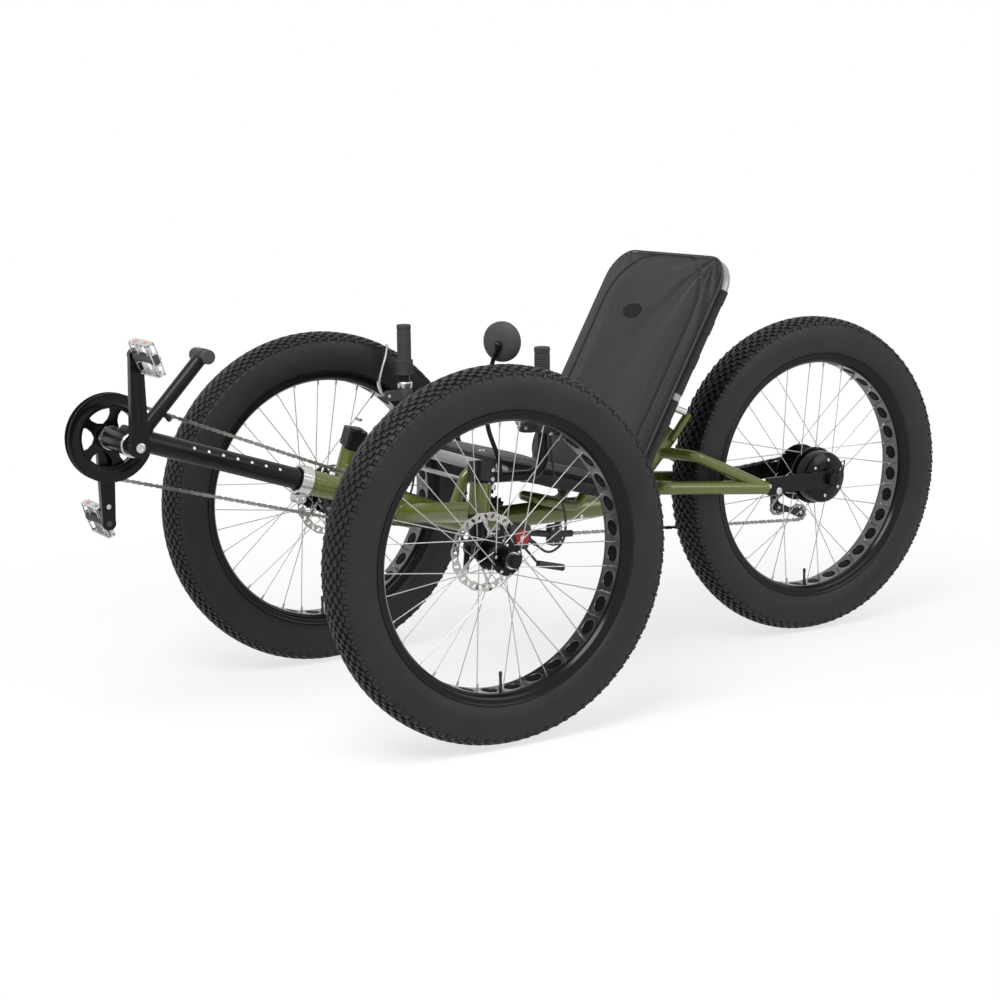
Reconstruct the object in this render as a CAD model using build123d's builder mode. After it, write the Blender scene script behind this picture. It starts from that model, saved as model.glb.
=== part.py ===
from build123d import *
from math import asin, atan2, cos, degrees, pi, radians, sin, tan
import os

os.makedirs("parts", exist_ok=True)

# Fat-tyre tadpole recumbent trike: two steered front wheels, one driven rear wheel.
# Millimetres, +Z up, front towards -Y, the rider's left is +X. The origin is on the floor,
# in the middle of the overall length and width.

# ---- Chassis ----
WHEELBASE = 1090.0
TRACK = 778.0
TYRE_R = 375.0
BB_AHEAD = 610.0
BB_Z = 605.0
BB_DROP = 12.0
GUARD_R = 88.0
SEAT_FIT = 0.3
RUN_FIT = 0.05

FRONT_Y = (BB_AHEAD + GUARD_R - WHEELBASE - TYRE_R) / 2
REAR_Y = FRONT_Y + WHEELBASE
AXLE_Z = TYRE_R
BB_Y = FRONT_Y - BB_AHEAD

# ---- Wheels ----
TYRE_W = 98.0
TYRE_WALL = 5.0
RIM_W = 80.0
RIM_WALL = 2.6
RIM_HOLE_R = 16.5
LIP_T = 3.8
LUG_HEIGHT = 7.0
LUG_TIP_FIT = 0.2
BED_R = 266.0
FLANGE_TIP_R = 288.0
SPOKE_R = 1.1
SPOKES = 32
SPOKE_SPREAD = 2.5
AXLE_R = 10.0
ROTOR_R = 80.0
ROTOR_T = 2.0

# ---- Steering ----
KING_LEAN = 12.5
CASTER = 12.0
HEAD_Z = 468.0
HEAD_LENGTH = 62.0
HEAD_R = 21.5
KING_R = 14.0
BOSS_R = 20.0
CALIPER_CORNER = 5.0
CABLE_R = 2.5
BAR_R = 11.0
BAR_BEND = 35.0
GRIP_R = 16.0
GRIP_LENGTH = 112.0
BAR_TOP_Z = 762.0
BAR_BASE_Z = 504.0
BAR_BEHIND = 168.0
ROD_BEHIND = 64.0
ROD_Z = 484.0
ROD_INBOARD = 27.0
ROD_R = 4.5
ROD_PIN_R = 4.0
ROD_DRIFT = 4.6
BAR_X = TRACK / 2 - HEAD_Z * tan(radians(KING_LEAN))
ROD_X = BAR_X - ROD_INBOARD

# ---- Frame tubes ----
SPINE_R = 25.4
SPINE_SLOPE = 18.26
SPINE_LOW_Z = 362.0
SPINE_BEND = 260.0
CLAMP_AHEAD = 235.0
SPINE_END = WHEELBASE - TYRE_R - 159.0
ARM_R = 20.5
ARM_ROOT_Z = 399.0
ARM_TIP_Z = 446.0
MAST_R = 22.0
MAST_SLOPE = 46.5
MAST_LENGTH = 205.0
CHAINSTAY_R = 15.5
SEATSTAY_R = 13.0
STAY_X = 86.0
STAY_END = WHEELBASE - 190.0
STAY_END_Z = 373.0
SUPPORT_R = 11.0
BOOM_R = 21.5
BB_R = 22.0
BB_WIDTH = 100.0
POST_R = 14.0
POST_LENGTH = 210.0
POST_SLOPE = 47.0
DROPOUT_T = 8.0
DROPOUT_H = 38.0

# ---- Seat ----
SEAT_R = 12.5
SEAT_WIDTH = 430.0
SEAT_X = SEAT_WIDTH / 2 - 19.0
SEAT_FRONT = 100.0
SEAT_FRONT_Z = 510.0
SEAT_CORNER = SPINE_END - 110.0
SEAT_CORNER_Z = 417.0
BACK_LEAN = 60.7
BACK_LENGTH = 542.0
BACK_BEND = 62.0
PAD_T = 24.0
PAD_CORNER = 72.0

# ---- Drive ----
CHAIN_X = -60.0
CHAIN_W = 7.0
CHAIN_H = 8.0
RING_R = 76.9
RING_T = 4.0
CRANK_LENGTH = 175.0
CRANK_X = 92.0
PEDAL_X = 150.0
PEDAL_LENGTH = 96.0
PEDAL_WIDTH = 66.0
PEDAL_T = 18.0
PEDAL_TILT = 70.0


def behind(x, distance, z):
    """Point at a distance behind the front axle."""
    return (x, FRONT_Y + distance, z)


def rod(start, end, radius, mode=Mode.ADD):
    """Straight round bar between two points."""
    line = Vector(end) - Vector(start)
    with BuildSketch(Plane(origin=start, z_dir=line)) as section:
        Circle(radius)
    extrude(section.sketch, amount=line.length, mode=mode)


def pipe(points, radius, bends, mode=Mode.ADD):
    """Round tube along straight runs joined by arcs."""
    with BuildLine() as route:
        FilletPolyline(*points, radius=bends)
    with BuildSketch(Plane(origin=route.line @ 0, z_dir=route.line % 0)) as section:
        Circle(radius)
    sweep(sections=section.sketch, path=route.wire(), mode=mode)


def slab(plane, width, height, thickness, corner=0.0, mode=Mode.ADD):
    """Flat plate centred on a plane, with rounded corners."""
    with BuildSketch(plane) as section:
        if corner:
            RectangleRounded(width, height, corner)
        else:
            Rectangle(width, height)
    extrude(section.sketch, amount=thickness / 2, both=True, mode=mode)


def finish(part, name):
    """Label a finished solid and write it to its own file."""
    part.part.label = name
    export_step(part.part, f"parts/{name}.step")


# ---- Kingpin axes ----
def kingpin(side, z):
    """Point of a kingpin's axis at a height; it meets the floor under the tyre's middle."""
    x = side * (TRACK / 2 - z * tan(radians(KING_LEAN)))
    return (x, FRONT_Y + (z - AXLE_Z) * tan(radians(CASTER)), z)


def along_kingpin(side, distance):
    """Point of a kingpin's axis at a distance above the middle of its head tube."""
    low, high = Vector(kingpin(side, 0)), Vector(kingpin(side, HEAD_Z))
    return high + (high - low).normalized() * distance


# ---- Tyre and rim, both made once about the origin with the axle along X ----
AXLE_LINE = Axis((0, 0, 0), (1, 0, 0))
RADIAL = Plane(origin=(0, 0, 0), x_dir=(1, 0, 0), z_dir=(0, -1, 0))
CROWN_R = TYRE_R - LUG_HEIGHT
SHOULDER_X = TYRE_W / 2 - 7
SHOULDER_DROP = 12.0
CROWN_ARC_R = (SHOULDER_X**2 + SHOULDER_DROP**2) / (2 * SHOULDER_DROP)
BEAD_X = RIM_W / 2 - LIP_T - SEAT_FIT
BEAD_R = FLANGE_TIP_R - 9.0

# distance of a lug from the middle plane, its length round the tyre, its width, its shift in pitches
LUG_ROWS = (
    (11.0, 24.0, 14.0, 0.0),
    (34.0, 22.0, 14.0, 0.5),
)
LUGS_ROUND = 44
LUG_ROOT = 3.0


def around_wheel(angle, across, radius, lean=0.0):
    """Plane on a wheel's surface: z points outwards, leaning to the side, x runs along the wheel."""
    turn, tilt = radians(angle), radians(lean)
    out = (sin(tilt), -cos(tilt) * sin(turn), cos(tilt) * cos(turn))
    return Plane(origin=(across, -radius * sin(turn), radius * cos(turn)), x_dir=(0, cos(turn), sin(turn)), z_dir=out)


with BuildPart() as tyre_form:
    with BuildSketch(RADIAL):
        with BuildLine():
            for wall in (0, TYRE_WALL):
                foot = (BEAD_X - wall, FLANGE_TIP_R)
                bulge = (TYRE_W / 2 - wall, (BED_R + TYRE_R) / 2 + 6)
                shoulder = (SHOULDER_X - wall, CROWN_R - SHOULDER_DROP - wall)
                Line((foot[0], BEAD_R), foot)
                ThreePointArc(foot, bulge, shoulder)
                ThreePointArc(shoulder, (0, CROWN_R - wall), (-shoulder[0], shoulder[1]))
                ThreePointArc((-shoulder[0], shoulder[1]), (-bulge[0], bulge[1]), (-foot[0], foot[1]))
                Line((-foot[0], foot[1]), (-foot[0], BEAD_R))
            for side in (1, -1):
                Line((side * BEAD_X, BEAD_R), (side * (BEAD_X - TYRE_WALL), BEAD_R))
        make_face()
    revolve(axis=AXLE_LINE)
    for across, length, width, shift in LUG_ROWS:
        lean = asin(across / CROWN_ARC_R)
        casing_r = CROWN_R - CROWN_ARC_R * (1 - cos(lean))
        roots = [
            around_wheel(
                (step + shift) * 360 / LUGS_ROUND,
                side * (across - LUG_ROOT * sin(lean)),
                casing_r - LUG_ROOT * cos(lean),
                side * degrees(lean),
            )
            for step in range(LUGS_ROUND)
            for side in (1, -1)
        ]
        with BuildSketch(*roots) as lug_row:
            Rectangle(length, width)
        extrude(lug_row.sketch, amount=LUG_ROOT + LUG_HEIGHT - LUG_TIP_FIT)

# half of the rim's section from its bed to the flange's lip and back: distance from the middle plane, radius
RIM_SECTION = (
    (25.0, BED_R),
    (28.0, BED_R + 1.2),
    (RIM_W / 2 - 5.0, BED_R + 5.0),
    (RIM_W / 2 - 1.2, BED_R + 11.0),
    (RIM_W / 2 - 1.2, FLANGE_TIP_R - 3.5),
    (RIM_W / 2, FLANGE_TIP_R - 1.5),
    (RIM_W / 2 - 1.5, FLANGE_TIP_R),
    (RIM_W / 2 - LIP_T, FLANGE_TIP_R - 1.5),
    (RIM_W / 2 - LIP_T, BED_R + 12.5),
    (RIM_W / 2 - 7.0, BED_R + 7.5),
    (25.0, BED_R + RIM_WALL),
)
with BuildPart() as rim_form:
    with BuildSketch(RADIAL):
        with BuildLine():
            Polyline(*RIM_SECTION, *[(-x, r) for x, r in reversed(RIM_SECTION)], close=True)
        make_face()
    revolve(axis=AXLE_LINE)
    between_spokes = [around_wheel((step + 0.5) * 360 / SPOKES, 0, BED_R) for step in range(SPOKES)]
    with BuildSketch(*between_spokes) as rim_holes:
        Circle(RIM_HOLE_R)
    extrude(rim_holes.sketch, amount=10, both=True, mode=Mode.SUBTRACT)

# ---- Wheels ----
# name, x, y, half spacing of the hub flanges, flange radius, shell radius, half hub width, crossing angle
WHEELS = (
    ("front_left", TRACK / 2, FRONT_Y, 30.0, 33.0, 20.0, 50.0, 60.0),
    ("front_right", -TRACK / 2, FRONT_Y, 30.0, 33.0, 20.0, 50.0, 60.0),
    ("rear", 0.0, REAR_Y, 27.0, 67.0, 46.0, 78.0, 38.0),
)
HUB_CORE_R = 19.0
FLANGE_T = 4.0
NIPPLE_X = 6.0

for name, wheel_x, wheel_y, flange_x, flange_r, shell_r, hub_half, cross in WHEELS:
    centre = Vector(wheel_x, wheel_y, AXLE_Z)
    for form, piece in ((tyre_form, "tyre"), (rim_form, "rim")):
        with BuildPart() as placed:
            with Locations(centre):
                add(form.part)
        finish(placed, f"{name}_{piece}")

    with BuildPart() as hub:
        with BuildSketch(Plane(origin=centre, x_dir=(1, 0, 0), z_dir=(0, -1, 0))):
            with Locations((0, HUB_CORE_R / 2)):
                Rectangle(2 * hub_half, HUB_CORE_R)
            with Locations((0, shell_r / 2)):
                Rectangle(2 * flange_x, shell_r)
            for side in (1, -1):
                with Locations((side * flange_x, flange_r / 2)):
                    Rectangle(FLANGE_T, flange_r)
            with Locations((0, (AXLE_R + RUN_FIT) / 2)):
                Rectangle(2 * hub_half, AXLE_R + RUN_FIT, mode=Mode.SUBTRACT)
        revolve(axis=Axis(centre, (1, 0, 0)))
    finish(hub, f"{name}_hub")

    with BuildPart() as spokes:
        for number in range(SPOKES):
            flange = 1 if number % 2 == 0 else -1
            lead = 1 if number % 4 < 2 else -1
            rim_angle = radians(360 / SPOKES * number)
            hub_angle = rim_angle + lead * radians(cross)
            hub_r = flange_r - 3
            rim_r = BED_R + RIM_WALL / 2
            hub_x = flange * (flange_x + lead * (SPOKE_SPREAD - 1))
            rim_x = flange * (NIPPLE_X + lead * SPOKE_SPREAD)
            inner = centre + Vector(hub_x, hub_r * cos(hub_angle), hub_r * sin(hub_angle))
            outer = centre + Vector(rim_x, rim_r * cos(rim_angle), rim_r * sin(rim_angle))
            with BuildSketch(Plane(origin=inner, z_dir=outer - inner)) as wire:
                RegularPolygon(SPOKE_R, 6)
            extrude(wire.sketch, amount=(outer - inner).length)
    finish(spokes, f"{name}_spokes")

# ---- Brake rotors, inboard of each front hub ----
ROTOR_X = TRACK / 2 - 48.0
for side, name in ((1, "left"), (-1, "right")):
    rotor_plane = Plane(origin=(side * ROTOR_X, FRONT_Y, AXLE_Z), x_dir=(0, 1, 0), z_dir=(1, 0, 0))
    with BuildPart() as rotor:
        with BuildSketch(rotor_plane):
            Circle(ROTOR_R)
            Circle(ROTOR_R - 16, mode=Mode.SUBTRACT)
            with PolarLocations(0, 6):
                with Locations((ROTOR_R / 2, 0)):
                    Rectangle(ROTOR_R - 12, 7)
            Circle(HUB_CORE_R + 6)
            Circle(HUB_CORE_R + RUN_FIT, mode=Mode.SUBTRACT)
        extrude(amount=ROTOR_T / 2, both=True)
    finish(rotor, f"rotor_{name}")

# ---- Cassette on the drive side of the rear hub ----
SPROCKET_R = 33.0
COG_PITCH = 5.0
COGS_INSIDE = 3
COGS_OUTSIDE = 2
COG_STEP = 5.0
with BuildPart() as cassette:
    for step in range(-COGS_OUTSIDE, COGS_INSIDE + 1):
        cog_x = CHAIN_X + step * COG_PITCH
        cog_r = SPROCKET_R - CHAIN_H / 2 - SEAT_FIT + max(step, step / 2) * COG_STEP
        with BuildSketch(Plane(origin=(cog_x, REAR_Y, AXLE_Z), z_dir=(1, 0, 0))) as cog:
            Circle(cog_r)
            Circle(HUB_CORE_R + RUN_FIT, mode=Mode.SUBTRACT)
        extrude(cog.sketch, amount=1.0, both=True)
    with BuildSketch(Plane(origin=(CHAIN_X - COGS_OUTSIDE * COG_PITCH, REAR_Y, AXLE_Z), z_dir=(1, 0, 0))) as core:
        Circle(HUB_CORE_R + 3)
        Circle(HUB_CORE_R + RUN_FIT, mode=Mode.SUBTRACT)
    extrude(core.sketch, amount=(COGS_INSIDE + COGS_OUTSIDE) * COG_PITCH)
finish(cassette, "cassette")

# ---- Route of each brake cable, from the caliper up to the lever ----
# distance inboard of the rotor, distance behind the axle, height
CABLE_ROUTE = (
    (17.0, 124.0, 373.0),
    (18.0, 156.0, 348.0),
    (22.0, 196.0, 366.0),
    (27.0, 205.0, 415.0),
    (38.0, 196.0, 465.0),
    (49.0, BAR_BEHIND + 18.0, 520.0),
    (53.0, BAR_BEHIND + 16.0, 584.0),
)


def cable_points(side):
    """Corners of one side's brake cable."""
    return [Vector(behind(side * (ROTOR_X - inboard), back, z)) for inboard, back, z in CABLE_ROUTE]


def cable_stop(side, end):
    """One end of a brake cable, with its direction there; end is 0 at the caliper, -1 at the lever."""
    points = cable_points(side)
    before, after = points[:2] if end == 0 else points[-2:]
    return points[end], (after - before).normalized()


# ---- Steering: knuckle with kingpin and stub axle, clamp with handlebar ----
PIN_TOP = HEAD_LENGTH / 2 + 46.0
for side, name in ((1, "left"), (-1, "right")):
    knee = kingpin(side, AXLE_Z)
    hub_inner_x = side * (TRACK / 2 - 50.0)
    with BuildPart() as knuckle:
        rod(along_kingpin(side, PIN_TOP), knee, KING_R)
        rod(along_kingpin(side, -HEAD_LENGTH / 2 - SEAT_FIT), knee, KING_R + 5)
        rod((knee[0] - side * 22, knee[1], AXLE_Z), (hub_inner_x - side * 8, knee[1], AXLE_Z), BOSS_R)
        rod(knee, (side * (TRACK / 2 + 62), FRONT_Y, AXLE_Z), AXLE_R)
        rod((side * (TRACK / 2 + 51), FRONT_Y, AXLE_Z), (side * (TRACK / 2 + 60), FRONT_Y, AXLE_Z), AXLE_R + 4)
        rod((knee[0] - side * 4, knee[1] - 20, AXLE_Z + 8), (knee[0] - side * 4, knee[1] - 24, AXLE_Z - 44), 6)
    finish(knuckle, f"knuckle_{name}")

    # body parts: side step from the rotor, distance behind the axle, height over it, length, height, thickness
    with BuildPart() as caliper:
        for step, back, up, length, height, thickness in (
            (-10.0, 66.0, 22.0, 48.0, 52.0, 14.0),
            (7.5, 70.0, 22.0, 40.0, 48.0, 9.0),
            (-2.0, 90.0, 27.0, 12.0, 36.0, 28.0),
            (-16.0, 30.0, 16.0, 60.0, 26.0, 7.0),
        ):
            plate_mid = (side * (ROTOR_X + step), FRONT_Y + back, AXLE_Z + up)
            slab(Plane(origin=plate_mid, x_dir=(0, 1, 0), z_dir=(1, 0, 0)), length, height, thickness, CALIPER_CORNER)
        knob_x = side * (ROTOR_X - 17)
        rod((knob_x, FRONT_Y + 78, AXLE_Z + 22), (knob_x - side * 12, FRONT_Y + 78, AXLE_Z + 22), 16)
        cable_start, cable_way = cable_stop(side, 0)
        rod(cable_start - cable_way * 46, cable_start, 4.5)
        rod(behind(knob_x, 88, AXLE_Z + 6), behind(knob_x, 132, AXLE_Z - 44), 2.5)
        rod(behind(knob_x, 130, AXLE_Z - 43), behind(knob_x, 190, AXLE_Z - 58), 7)
        rod((side * (ROTOR_X - 26), FRONT_Y, AXLE_Z), (side * (ROTOR_X - 4), FRONT_Y, AXLE_Z), BOSS_R + RUN_FIT, mode=Mode.SUBTRACT)
    finish(caliper, f"caliper_{name}")

    clamp_mid = along_kingpin(side, HEAD_LENGTH / 2 + 24)
    bar_foot = (clamp_mid.X, clamp_mid.Y + 18, BAR_BASE_Z + 4)
    bar_x = side * BAR_X
    pin_mid = Vector(behind(side * ROD_X, ROD_BEHIND, ROD_Z))
    pin_way = (along_kingpin(side, 1) - along_kingpin(side, 0)).normalized()
    with BuildPart() as handlebar:
        block = Plane(origin=clamp_mid, x_dir=(1, 0, 0), z_dir=along_kingpin(side, 1) - along_kingpin(side, 0))
        slab(block, 46, 44, 40, 8)
        pipe(
            (bar_foot, behind(bar_x, BAR_BEHIND, BAR_BASE_Z), behind(bar_x, BAR_BEHIND, BAR_TOP_Z - 2)),
            BAR_R,
            BAR_BEND,
        )
        arm_root = Vector(clamp_mid.X, clamp_mid.Y + 10, clamp_mid.Z - 6)
        rod(arm_root, pin_mid + pin_way * 22, 6)
        rod(pin_mid - pin_way * 12, pin_mid + pin_way * 26, ROD_PIN_R)
        rod(along_kingpin(side, 0), along_kingpin(side, PIN_TOP + 20), KING_R + RUN_FIT, mode=Mode.SUBTRACT)
    finish(handlebar, f"handlebar_{name}")

    grip_foot = BAR_TOP_Z - GRIP_LENGTH
    with BuildPart() as grip:
        rod(behind(bar_x, BAR_BEHIND, grip_foot), behind(bar_x, BAR_BEHIND, BAR_TOP_Z), GRIP_R)
        if name == "right":
            rod(behind(bar_x, BAR_BEHIND, grip_foot - 2), behind(bar_x, BAR_BEHIND, grip_foot + 32), GRIP_R + 4)
        rod(behind(bar_x, BAR_BEHIND, grip_foot - 4), behind(bar_x, BAR_BEHIND, BAR_TOP_Z - 1.6), BAR_R + SEAT_FIT, mode=Mode.SUBTRACT)
    finish(grip, f"grip_{name}")

    lever_z = grip_foot - 46.0
    with BuildPart() as lever:
        rod(behind(bar_x, BAR_BEHIND, lever_z - 14), behind(bar_x, BAR_BEHIND, lever_z + 14), BAR_R + 6)
        slab(Plane(origin=behind(bar_x, BAR_BEHIND - 34, lever_z), z_dir=(1, 0, 0), x_dir=(0, 1, 0)), 44, 24, 16, 5)
        cable_end, cable_way = cable_stop(side, -1)
        rod(cable_end, cable_end + cable_way * 16, CABLE_R + 1.5)
        rod(behind(bar_x, BAR_BEHIND, lever_z - 20), behind(bar_x, BAR_BEHIND, lever_z + 20), BAR_R + SEAT_FIT, mode=Mode.SUBTRACT)
        pipe(
            (
                behind(bar_x, BAR_BEHIND - 50, lever_z),
                behind(bar_x, BAR_BEHIND - 68, lever_z + 26),
                behind(bar_x, BAR_BEHIND - 48, lever_z + 80),
                behind(bar_x, BAR_BEHIND - 42, lever_z + 120),
            ),
            5.0,
            (18, 60),
        )
    finish(lever, f"brake_lever_{name}")

# ---- Brake cables from the levers down to the calipers ----
for side, name in ((1, "left"), (-1, "right")):
    stops = cable_points(side)
    radii = []
    for before, here, after in zip(stops, stops[1:], stops[2:]):
        turn = radians((here - before).get_angle(after - here))
        radii.append(0.45 * min((here - before).length, (after - here).length) / tan(turn / 2))
    print(f"brake_cable_{name} radii", [round(r, 1) for r in radii])
    with BuildPart() as cable:
        pipe(stops, CABLE_R, radii)
    finish(cable, f"brake_cable_{name}")

# ---- Mirror on the left bar ----
MIRROR_R = 40.0
MIRROR_TURN = 30.0
MIRROR_BEHIND = 68.0
MIRROR_Z = 778.0
MIRROR_BEND = 40.0
mirror_way = Vector(cos(radians(MIRROR_TURN)), sin(radians(MIRROR_TURN)), 0)
mirror_face = Plane(
    origin=behind(BAR_X + 7, MIRROR_BEHIND, MIRROR_Z),
    z_dir=(-mirror_way.Y, mirror_way.X, 0),
    x_dir=mirror_way,
)
stalk_foot_z = BAR_BASE_Z + BAR_R + 6
stalk_rise = MIRROR_Z - stalk_foot_z
with BuildPart() as mirror_left:
    with BuildSketch(mirror_face):
        Circle(MIRROR_R)
    extrude(amount=10)
    pipe(
        (
            behind(BAR_X, MIRROR_BEHIND + 1, stalk_foot_z),
            behind(BAR_X, MIRROR_BEHIND - 32, stalk_foot_z + stalk_rise * 0.35),
            behind(BAR_X + 2, MIRROR_BEHIND - 28, stalk_foot_z + stalk_rise * 0.7),
            mirror_face.from_local_coords((0, -10, -2)),
        ),
        5.0,
        MIRROR_BEND,
    )
finish(mirror_left, "mirror")

# ---- Tie rod: carried by the left arm, open at the right arm ----
with BuildPart() as tie_rod:
    rod(behind(ROD_X - 6, ROD_BEHIND, ROD_Z), behind(-ROD_X + 10, ROD_BEHIND, ROD_Z), ROD_R)
    for side, hole in ((1, ROD_PIN_R + RUN_FIT), (-1, ROD_PIN_R + ROD_DRIFT)):
        pin_mid = Vector(behind(side * ROD_X, ROD_BEHIND, ROD_Z))
        pin_way = (along_kingpin(side, 1) - along_kingpin(side, 0)).normalized()
        rod(pin_mid - pin_way * 5, pin_mid + pin_way * 5, hole + 4)
        rod(pin_mid - pin_way * 9, pin_mid + pin_way * 9, hole, mode=Mode.SUBTRACT)
finish(tie_rod, "tie_rod")

# ---- Spine: boom socket, straight fall, and level run under the seat ----
def spine_z(distance):
    """Height of the sloping tube's axis at a distance behind the front axle."""
    return BB_Z + BB_DROP - (BB_AHEAD + distance) * tan(radians(SPINE_SLOPE))


LEVEL_FROM = (BB_Z + BB_DROP - SPINE_LOW_Z) / tan(radians(SPINE_SLOPE)) - BB_AHEAD
with BuildPart() as spine:
    pipe(
        (
            behind(0, -CLAMP_AHEAD, spine_z(-CLAMP_AHEAD)),
            behind(0, LEVEL_FROM, SPINE_LOW_Z),
            behind(0, SPINE_END, SPINE_LOW_Z),
        ),
        SPINE_R,
        SPINE_BEND,
    )
    rod(
        behind(0, -CLAMP_AHEAD - 2, spine_z(-CLAMP_AHEAD - 2)),
        behind(0, -120, spine_z(-120)),
        BOOM_R + SEAT_FIT,
        mode=Mode.SUBTRACT,
    )
finish(spine, "spine")

# ---- Boom with bottom bracket shell and accessory post ----
with BuildPart() as boom:
    rod((0, BB_Y, BB_Z + BB_DROP), behind(0, -122, spine_z(-122)), BOOM_R)
    rod((-BB_WIDTH / 2, BB_Y, BB_Z), (BB_WIDTH / 2, BB_Y, BB_Z), BB_R)
    post_foot = Vector(0, BB_Y + 30, BB_Z)
    post_tip = post_foot + Vector(0, cos(radians(POST_SLOPE)), sin(radians(POST_SLOPE))) * POST_LENGTH
    rod(post_foot, post_tip, POST_R)
    boss_root = post_foot + Vector(0, cos(radians(POST_SLOPE)), sin(radians(POST_SLOPE))) * 74
    rod(boss_root, boss_root + Vector(0, sin(radians(POST_SLOPE)), -cos(radians(POST_SLOPE))) * 27, 5)
    rod(post_tip + Vector(-30, 0, 0), post_tip + Vector(30, 0, 0), POST_R)
    rod(post_tip + Vector(-15, 0, 0), post_tip + Vector(15, 0, 0), POST_R + 1.2)
    rod((-BB_WIDTH / 2 - 1, BB_Y, BB_Z), (BB_WIDTH / 2 + 1, BB_Y, BB_Z), AXLE_R + RUN_FIT, mode=Mode.SUBTRACT)
finish(boom, "boom")

# ---- Boom clamp: split collar with its bolts below ----
with BuildPart() as boom_clamp:
    rod(behind(0, -CLAMP_AHEAD - 6, spine_z(-CLAMP_AHEAD - 6)), behind(0, -CLAMP_AHEAD + 18, spine_z(-CLAMP_AHEAD + 18)), SPINE_R + 5)
    rod(behind(0, -CLAMP_AHEAD - 8, spine_z(-CLAMP_AHEAD - 8)), behind(0, -CLAMP_AHEAD + 24, spine_z(-CLAMP_AHEAD + 24)), SPINE_R + SEAT_FIT, mode=Mode.SUBTRACT)
    clamp_lug = Plane(origin=behind(0, -CLAMP_AHEAD - 4, spine_z(-CLAMP_AHEAD) - SPINE_R - 12), z_dir=(1, 0, 0), x_dir=(0, 1, 0))
    slab(clamp_lug, 22, 18, 26, 4)
finish(boom_clamp, "boom_clamp")

# ---- Cross arms with head tubes ----
def arm_line(side):
    """Both ends of a cross arm's axis, from the spine to the head tube."""
    return Vector(behind(side * (SPINE_R - 12), -5, ARM_ROOT_Z)), Vector(kingpin(side, ARM_TIP_Z))


with BuildPart() as cross_arms:
    for side in (1, -1):
        arm_start, arm_end = arm_line(side)
        head_low, head_high = along_kingpin(side, -HEAD_LENGTH / 2), along_kingpin(side, HEAD_LENGTH / 2)
        rod(arm_start, arm_end, ARM_R)
        rod(along_kingpin(side, -HEAD_LENGTH), head_low, HEAD_R + 3, mode=Mode.SUBTRACT)
        rod(head_low, head_high, HEAD_R)
        rod(along_kingpin(side, -HEAD_LENGTH), along_kingpin(side, HEAD_LENGTH), KING_R + RUN_FIT, mode=Mode.SUBTRACT)
    slope_top = behind(0, -CLAMP_AHEAD, spine_z(-CLAMP_AHEAD))
    slope_foot = behind(0, LEVEL_FROM, SPINE_LOW_Z)
    rod(slope_top, slope_foot, SPINE_R + 0.02, mode=Mode.SUBTRACT)
finish(cross_arms, "cross_arms")

# ---- Front seat supports: bent tubes that stand on the cross arms ----
SUPPORT_KNEE = 42.0
with BuildPart() as seat_supports:
    for side in (1, -1):
        arm_start, arm_end = arm_line(side)
        arm_share = (side * SEAT_X - arm_start.X) / (arm_end.X - arm_start.X)
        pipe(
            (
                arm_start + (arm_end - arm_start) * arm_share,
                behind(side * SEAT_X, SUPPORT_KNEE, SEAT_FRONT_Z),
                behind(side * SEAT_X, SEAT_FRONT - SEAT_R - SEAT_FIT, SEAT_FRONT_Z),
            ),
            SUPPORT_R,
            28,
        )
        rod(arm_start, arm_end, ARM_R + 0.02, mode=Mode.SUBTRACT)
finish(seat_supports, "seat_supports")

# ---- Seat mast with its two prongs ----
mast_foot = Vector(behind(0, SPINE_END - 4, SPINE_LOW_Z))
mast_way = Vector(0, cos(radians(MAST_SLOPE)), sin(radians(MAST_SLOPE)))
mast_tip = mast_foot + mast_way * MAST_LENGTH
PRONG_X = 34.0
PRONG_R = 9.0
with BuildPart() as mast:
    rod(mast_foot + mast_way * 8, mast_tip, MAST_R)
    for side in (1, -1):
        prong_foot = mast_tip - mast_way * 22 + Vector(side * (MAST_R + 2), 0, 0)
        rod(prong_foot, mast_tip + Vector(side * PRONG_X, 24, 42), PRONG_R)
    rod(behind(0, LEVEL_FROM, SPINE_LOW_Z), behind(0, SPINE_END + 0.02, SPINE_LOW_Z), SPINE_R + 0.02, mode=Mode.SUBTRACT)
finish(mast, "seat_mast")

# ---- Rear stays: chainstays and seatstays on both sides ----
STAY_TIP = Vector(behind(STAY_X, STAY_END, STAY_END_Z))
CHAINSTAY_KNEE = (80.0, SPINE_END + 60.0, 400.0)
SEATSTAY_KNEE = (74.0, SPINE_END + 152.0, 462.0)
for name, stay_r, root_up, knee_point in (
    ("chainstays", CHAINSTAY_R, 46.0, CHAINSTAY_KNEE),
    ("seatstays", SEATSTAY_R, 146.0, SEATSTAY_KNEE),
):
    with BuildPart() as stays:
        for side in (1, -1):
            root = mast_foot + mast_way * root_up + Vector(side * 8, 0, 0)
            knee = behind(side * knee_point[0], knee_point[1], knee_point[2])
            tip = Vector(side * STAY_TIP.X, STAY_TIP.Y, STAY_TIP.Z)
            pipe((root, knee, tip), stay_r, 30)
        rod(mast_foot, mast_tip, MAST_R + 0.02, mode=Mode.SUBTRACT)
        if name == "seatstays":
            for side in (1, -1):
                lower = behind(side * CHAINSTAY_KNEE[0], CHAINSTAY_KNEE[1], CHAINSTAY_KNEE[2])
                tip = Vector(side * (STAY_TIP.X + 0.2), STAY_TIP.Y + 8, STAY_TIP.Z - 0.7)
                rod(lower, tip, CHAINSTAY_R + 0.02, mode=Mode.SUBTRACT)
    finish(stays, name)

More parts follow.
